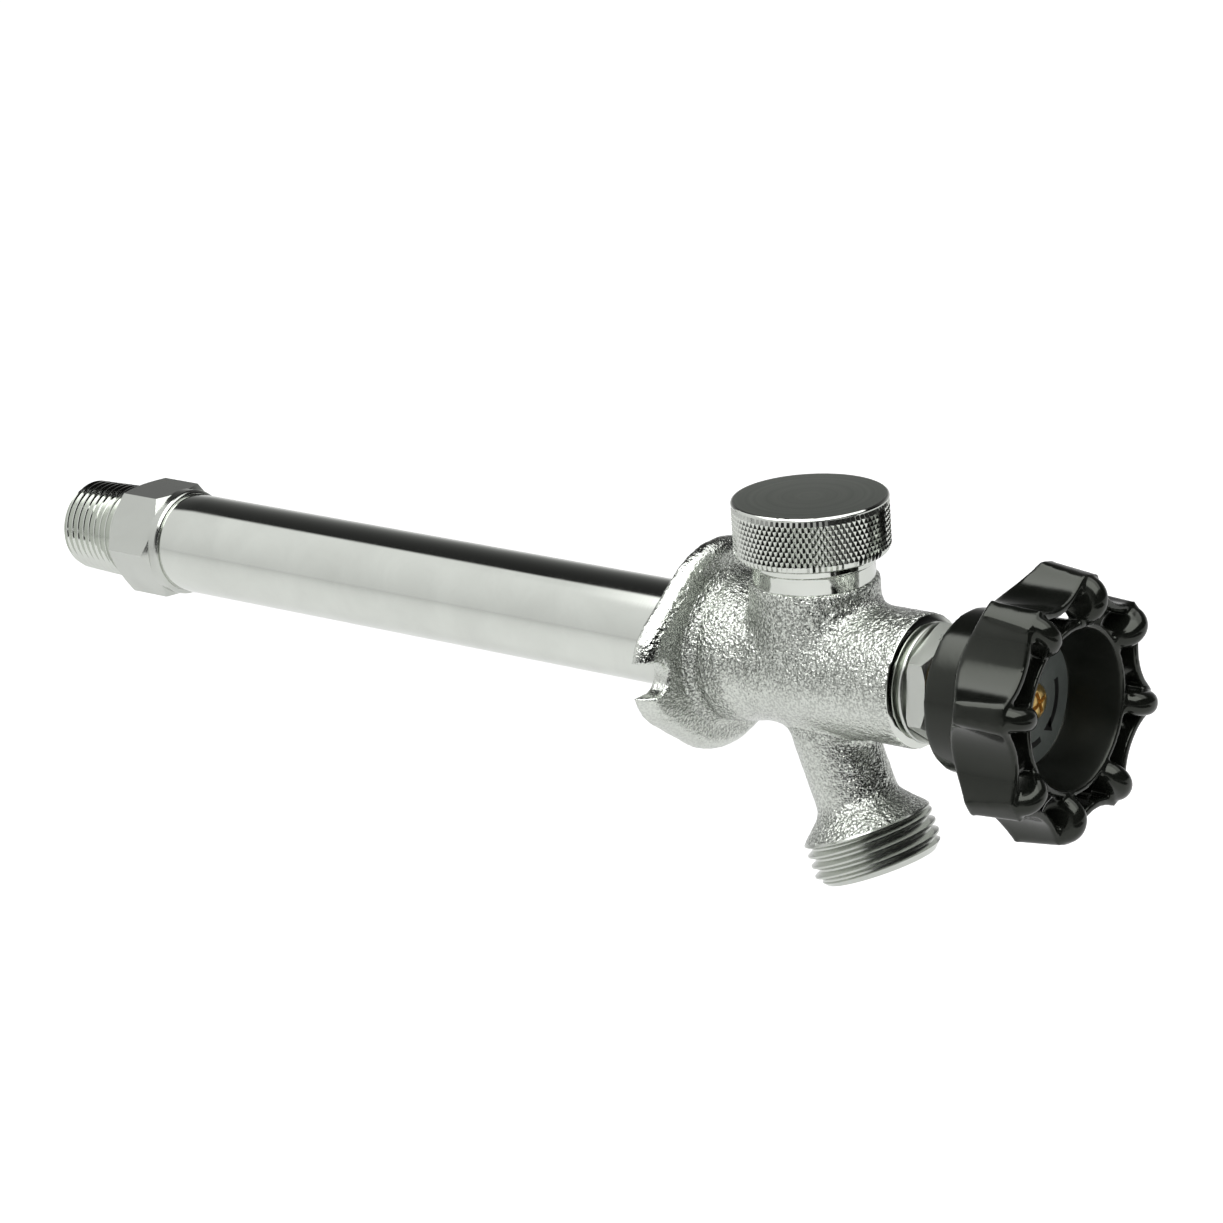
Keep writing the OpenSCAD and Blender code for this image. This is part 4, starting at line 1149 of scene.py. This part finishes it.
class SILLCOCK_OT_index_plate(bpy.types.Operator):
    """Models the index plate with plain arrows for both directions of turning"""

    bl_idname = "sillcock.index_plate"
    bl_label = "Index plate"

    def execute(self, context):
        back, front = -PLATE_HIGH.y, -PLATE_LOW.y
        edge = 0.2 * MM
        radius = PLATE_HIGH.x
        plate = turned("index_disc", [
            (SCREW_HOLE, back), (radius, back), *arc(radius - edge, front - edge, edge, 0, 90, 4),
            (SCREW_HOLE, front)], DEPTH, closed=True)
        finished(plate, "spindle", "index_metal", "index plate metal", "index_plate")
        arrows = joined("index_arrows", [part for turn in (12, 288) for part in self.arrow(turn, front)])
        place(arrows, DEPTH)
        finished(arrows, "spindle", "index_metal", "index print", "index_plate", angle=30)
        return {"FINISHED"}

    def arrow(self, turn, front):
        """Curved arrow that runs clockwise from a turn, as a swept bar with a pointed head."""
        inner, outer = 8.6 * MM, 9.8 * MM
        low, high = front - 0.02 * MM, front + 0.06 * MM
        start, sweep = math.radians(turn), math.radians(62)
        shaft = traced("index_arrows", [(inner, low), (outer, low), (outer, high), (inner, high)], True)
        bpy.ops.mesh.spin(steps=24, angle=sweep, center=(0, 0, 0), axis=(0, 0, 1))
        bpy.ops.mesh.select_all(action="SELECT")
        bpy.ops.mesh.fill_holes(sides=0)
        bpy.ops.object.mode_set(mode="OBJECT")
        place(cleaned(shaft), Matrix.Rotation(start, 4, "Z"))
        head = round_bar("head", 1.7 * MM, low, high, steps=3)
        place(head, Matrix.Rotation(start - sweep, 4, "Z")
              @ Matrix.Translation(((inner + outer) / 2, 0, 0)) @ Matrix.Rotation(-math.pi / 2, 4, "Z"))
        return [shaft, head]


class SILLCOCK_OT_handle_screw(bpy.types.Operator):
    """Models the brass cross head screw of the handle"""

    bl_idname = "sillcock.handle_screw"
    bl_label = "Handle screw"

    def execute(self, context):
        back, front = -SCREW_HIGH.y, -SCREW_LOW.y
        seat = -PLATE_LOW.y
        head = SCREW_HIGH.x
        shank = 2.1 * MM
        tall, tip = front - seat, 0.4 * MM
        screw = turned("brass_screw", [
            (0, back), (shank - tip, back), (shank, back + tip), (shank, seat), (head - 0.2 * MM, seat),
            (head, seat + 0.25 * MM), (head, seat + 0.35 * tall), (head * 0.93, seat + 0.62 * tall),
            (head * 0.76, seat + 0.85 * tall), (head * 0.45, front - 0.06 * MM), (0, front)], steps=64)
        deep, wide, over = 0.62 * tall, 0.95 * MM, 0.1 * MM
        for turn in (20, 110):
            blade = block(Matrix.Rotation(math.radians(turn), 4, "Z")
                          @ Matrix.Translation((0, 0, front - deep / 2 + over))
                          @ Matrix.Diagonal((head * 1.25, wide, deep + 2 * over, 1)))
            combined(screw, blade, "DIFFERENCE")
        bevelled(screw, 0.08 * MM, segments=2, angle=40)
        place(cleaned(screw), DEPTH)
        finished(screw, "spindle", "brass", "brass", "handle_screw", angle=30)
        return {"FINISHED"}


class SILLCOCK_OT_inner_pieces(bpy.types.Operator):
    """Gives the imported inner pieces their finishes"""

    bl_idname = "sillcock.inner_pieces"
    bl_label = "Inner pieces"

    def execute(self, context):
        other_names = {"black_paint": "black enamel", "index_metal": "index plate metal"}
        for row in frame["record"]["subparts"]:
            slot = row["material_slot"]
            piece = frame["nodes"][row["node"]]
            piece.data.materials.clear()
            piece.data.materials.append(finish(other_names.get(slot, slot.replace("_", " "))))
        return {"FINISHED"}


# Stage

def lit_panel(name, aim, at, size, energy):
    """Soft area lamp that points at a place and isn't mirrored itself."""
    lamp = bpy.data.lights.new(name, "AREA")
    lamp.shape = "RECTANGLE"
    lamp.size, lamp.size_y = size
    lamp.energy = energy
    holder = bpy.data.objects.new(name, lamp)
    holder.location = at
    holder.visible_glossy = False
    holder.rotation_euler = (Vector(aim) - Vector(at)).to_track_quat("-Z", "Y").to_euler()
    bpy.context.scene.collection.objects.link(holder)


def light_tent(radius):
    """Round tent that only the polished surfaces see: white low down and on one side, else dark."""
    drop_selection()
    bpy.ops.mesh.primitive_uv_sphere_add(segments=64, ring_count=32, radius=radius)
    tent = bpy.context.object
    tent.name = "light tent"
    material = bpy.data.materials.new("tent cloth")
    tree = bare_tree(material)
    part = parts_of(tree)
    height, ahead = (value_of(tree, "DIVIDE", part[axis], radius) for axis in "ZY")
    round_about = value_of(tree, "ARCTAN2", part["X"], part["Y"])
    # Glow low down, which fades upwards and towards the photographer
    fade = product(tree, value_of(tree, "MAXIMUM", height, 0.0), -4.4)
    low = product(tree, value_of(tree, "EXPONENT", fade), 0.64)
    low = product(tree, low, ranged(tree, ahead, (-0.2, -0.45), (1.0, 0.06)))
    # White cloth on one side, which ends at the back, at the left and below the top
    cloth = ranged(tree, height, (0.0, 0.75), (0.76, 0.95))
    for share in (ranged(tree, round_about, (0.2, 0.1), (0.0, 1.0)),
                  ranged(tree, round_about, (-1.1, -1.6), (1.0, 0.0)),
                  ranged(tree, height, (0.77, 0.83), (1.0, 0.0))):
        cloth = product(tree, cloth, share)
    shown = put(tree, "Emission", {"Strength": value_of(tree, "MAXIMUM", low, cloth)})
    put(tree, "OutputMaterial", {"Surface": shown.outputs[0]})
    tent.data.materials.append(material)
    only_mirrored(tent)


def only_mirrored(panel):
    """Keeps a panel of the stage out of sight, apart from its reflection."""
    panel.visible_camera = False
    panel.visible_diffuse = False
    panel.visible_shadow = False


def flat_panel(name, left, right, front, back, height):
    """Level panel of the stage with an empty material."""
    drop_selection()
    bpy.ops.mesh.primitive_plane_add(size=1)
    panel = bpy.context.object
    panel.name = name
    place(panel, Matrix.Translation(((left + right) / 2, (front + back) / 2, height))
          @ Matrix.Diagonal((right - left, back - front, 1, 1)))
    material = bpy.data.materials.new(name)
    panel.data.materials.append(material)
    only_mirrored(panel)
    return bare_tree(material)


def soft_box(name, strength, left, right, front, back, height):
    """Bright face of a soft box over the object, with faded edges at its back and right."""
    tree = flat_panel(name, left, right, front, back, height)
    part = parts_of(tree)
    fade = product(tree, ranged(tree, part["Y"], (back - 0.13, back - 0.01), (1.0, 0.0)),
                   ranged(tree, part["X"], (right - 0.06, right - 0.01), (1.0, 0.0)))
    clear = put(tree, "BsdfTransparent")
    bright = put(tree, "Emission", {"Strength": strength})
    mixed = put(tree, "MixShader", {0: fade, 1: clear.outputs[0], 2: bright.outputs[0]})
    put(tree, "OutputMaterial", {"Surface": mixed.outputs[0]})


def dark_card(left, right, front, back, height):
    """Dark card on the floor in front of the object, as the photographer's side of the room."""
    tree = flat_panel("dark card", left, right, front, back, height)
    dark = put(tree, "Emission", {"Strength": 0.02})
    put(tree, "OutputMaterial", {"Surface": dark.outputs[0]})


def white_room():
    """White world for the camera and the metal, softer for the light on the object."""
    world = bpy.data.worlds.new("white room")
    bpy.context.scene.world = world
    tree = bare_tree(world)
    rays = put(tree, "LightPath").outputs
    seen = value_of(tree, "MAXIMUM", rays["Is Camera Ray"], rays["Is Glossy Ray"])
    seen = value_of(tree, "MAXIMUM", seen, rays["Is Transmission Ray"])
    shown = put(tree, "Background", {"Color": WHITE, "Strength": 1.0})
    light = put(tree, "Background", {"Color": WHITE, "Strength": 0.5})
    mixed = put(tree, "MixShader", {0: seen, 1: light.outputs[0], 2: shown.outputs[0]})
    put(tree, "OutputWorld", {"Surface": mixed.outputs[0]})


def pale_floor(tone, height):
    """Floor that shows white to the camera and keeps the object's shadow."""
    drop_selection()
    bpy.ops.mesh.primitive_plane_add(size=12, location=(0, 0, height))
    floor = bpy.context.object
    floor.name = "floor"
    bpy.ops.object.transform_apply(location=True)
    material = bpy.data.materials.new("pale floor")
    tree = bare_tree(material)
    rays = put(tree, "LightPath").outputs
    seen = product(tree, rays["Is Camera Ray"], 0.55)
    mirrored = product(tree, rays["Is Glossy Ray"], 0.2)
    matt = put(tree, "BsdfDiffuse", {"Color": (*tone, 1.0)})
    glow = put(tree, "Emission", {"Color": WHITE, "Strength": value_of(tree, "ADD", seen, mirrored)})
    both = put(tree, "AddShader", {0: matt.outputs[0], 1: glow.outputs[0]})
    put(tree, "OutputMaterial", {"Surface": both.outputs[0]})
    floor.data.materials.append(material)


def photo_camera():
    """Camera at the photograph's place, found from the object's round outlines."""
    azimuth, elevation = math.radians(-49.783), math.radians(18.164)
    roll = math.radians(-4.116)
    distance = 873.61 * MM
    focal, half, width = 4255.33, 611.5, 36.0
    aim, aim_x, aim_y = Vector((0, 2 * MM, 0)), 709.02, 640.15
    back = Vector((math.sin(azimuth) * math.cos(elevation), -math.cos(azimuth) * math.cos(elevation),
                   math.sin(elevation)))
    side = (-back).cross(Vector((0, 0, 1))).normalized()
    up = side.cross(-back)
    right = side * math.cos(roll) + up * math.sin(roll)
    top = up * math.cos(roll) - side * math.sin(roll)
    ray = -back + right * (aim_x - half) / focal - top * (aim_y - half) / focal
    data = bpy.data.cameras.new("photo camera")
    data.sensor_width = width
    data.lens = focal / (2 * half) * width
    data.clip_start, data.clip_end = 0.01, 50
    camera = bpy.data.objects.new("photo camera", data)
    turn = Matrix((right, top, back)).transposed().to_4x4()
    camera.matrix_world = Matrix.Translation(aim - ray * distance) @ turn
    bpy.context.scene.collection.objects.link(camera)
    bpy.context.scene.camera = camera


class SILLCOCK_OT_stage(bpy.types.Operator):
    """Sets up the floor, the soft light and the camera"""

    bl_idname = "sillcock.stage"
    bl_label = "Stage"

    def execute(self, context):
        colours = context.scene.sillcock_colours
        context.scene.view_settings.view_transform = "Standard"
        white_room()
        ground = CAD_BOX[0][2] - 0.12
        pale_floor(colours.floor, ground)
        middle = (0, 0.03, 0)
        lit_panel("overhead light", middle, at=(-0.25, -0.25, 1.1), size=(0.9, 0.9), energy=6.5)
        lit_panel("front light", middle, at=(-0.7, -1.0, 0.55), size=(0.7, 0.9), energy=2.5)
        light_tent(radius=3.0)
        soft_box("soft box", strength=3.8, left=-0.55, right=0.1, front=-0.6, back=0.43, height=0.5)
        soft_box("top light", strength=2.0, left=0.05, right=0.45, front=-0.6, back=0.1, height=0.51)
        dark_card(left=-1.3, right=0.33, front=-1.4, back=-0.43, height=ground + 0.005)
        photo_camera()
        return {"FINISHED"}


PIECES = (
    SILLCOCK_OT_inner_pieces, SILLCOCK_OT_casting, SILLCOCK_OT_turned_ends, SILLCOCK_OT_hose_thread,
    SILLCOCK_OT_supply_tube, SILLCOCK_OT_inlet, SILLCOCK_OT_breaker_cap, SILLCOCK_OT_packing_nut,
    SILLCOCK_OT_handle_wheel, SILLCOCK_OT_index_plate, SILLCOCK_OT_handle_screw, SILLCOCK_OT_stage,
)


class SILLCOCK_PT_panel(bpy.types.Panel):
    """Lists the sillcock's pieces, sizes and colours"""

    bl_idname = "SILLCOCK_PT_panel"
    bl_label = "Sillcock"
    bl_space_type = "VIEW_3D"
    bl_region_type = "UI"
    bl_category = "Sillcock"

    def draw(self, context):
        layout = self.layout
        for piece in PIECES:
            layout.operator(piece.bl_idname)
        for group in (context.scene.sillcock_sizes, context.scene.sillcock_colours):
            box = layout.box()
            for key in group.__annotations__:
                box.prop(group, key)


CLASSES = (SillcockSizes, SillcockColours, *PIECES, SILLCOCK_PT_panel)


def register():
    """Registers the classes and puts the sizes and colours on the scene."""
    for entry in CLASSES:
        bpy.utils.register_class(entry)
    bpy.types.Scene.sillcock_sizes = PointerProperty(type=SillcockSizes)
    bpy.types.Scene.sillcock_colours = PointerProperty(type=SillcockColours)


def unregister():
    """Takes the sizes, colours and classes away again."""
    del bpy.types.Scene.sillcock_colours
    del bpy.types.Scene.sillcock_sizes
    for entry in reversed(CLASSES):
        bpy.utils.unregister_class(entry)


def main():
    """Makes every piece and the stage."""
    register()
    bpy.ops.sillcock.inner_pieces()
    bpy.ops.sillcock.casting()
    bpy.ops.sillcock.turned_ends()
    bpy.ops.sillcock.hose_thread()
    bpy.ops.sillcock.supply_tube()
    bpy.ops.sillcock.inlet()
    bpy.ops.sillcock.breaker_cap()
    bpy.ops.sillcock.packing_nut()
    bpy.ops.sillcock.handle_wheel()
    bpy.ops.sillcock.index_plate()
    bpy.ops.sillcock.handle_screw()
    bpy.ops.sillcock.stage()
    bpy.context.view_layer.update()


if __name__ == "__main__":
    main()
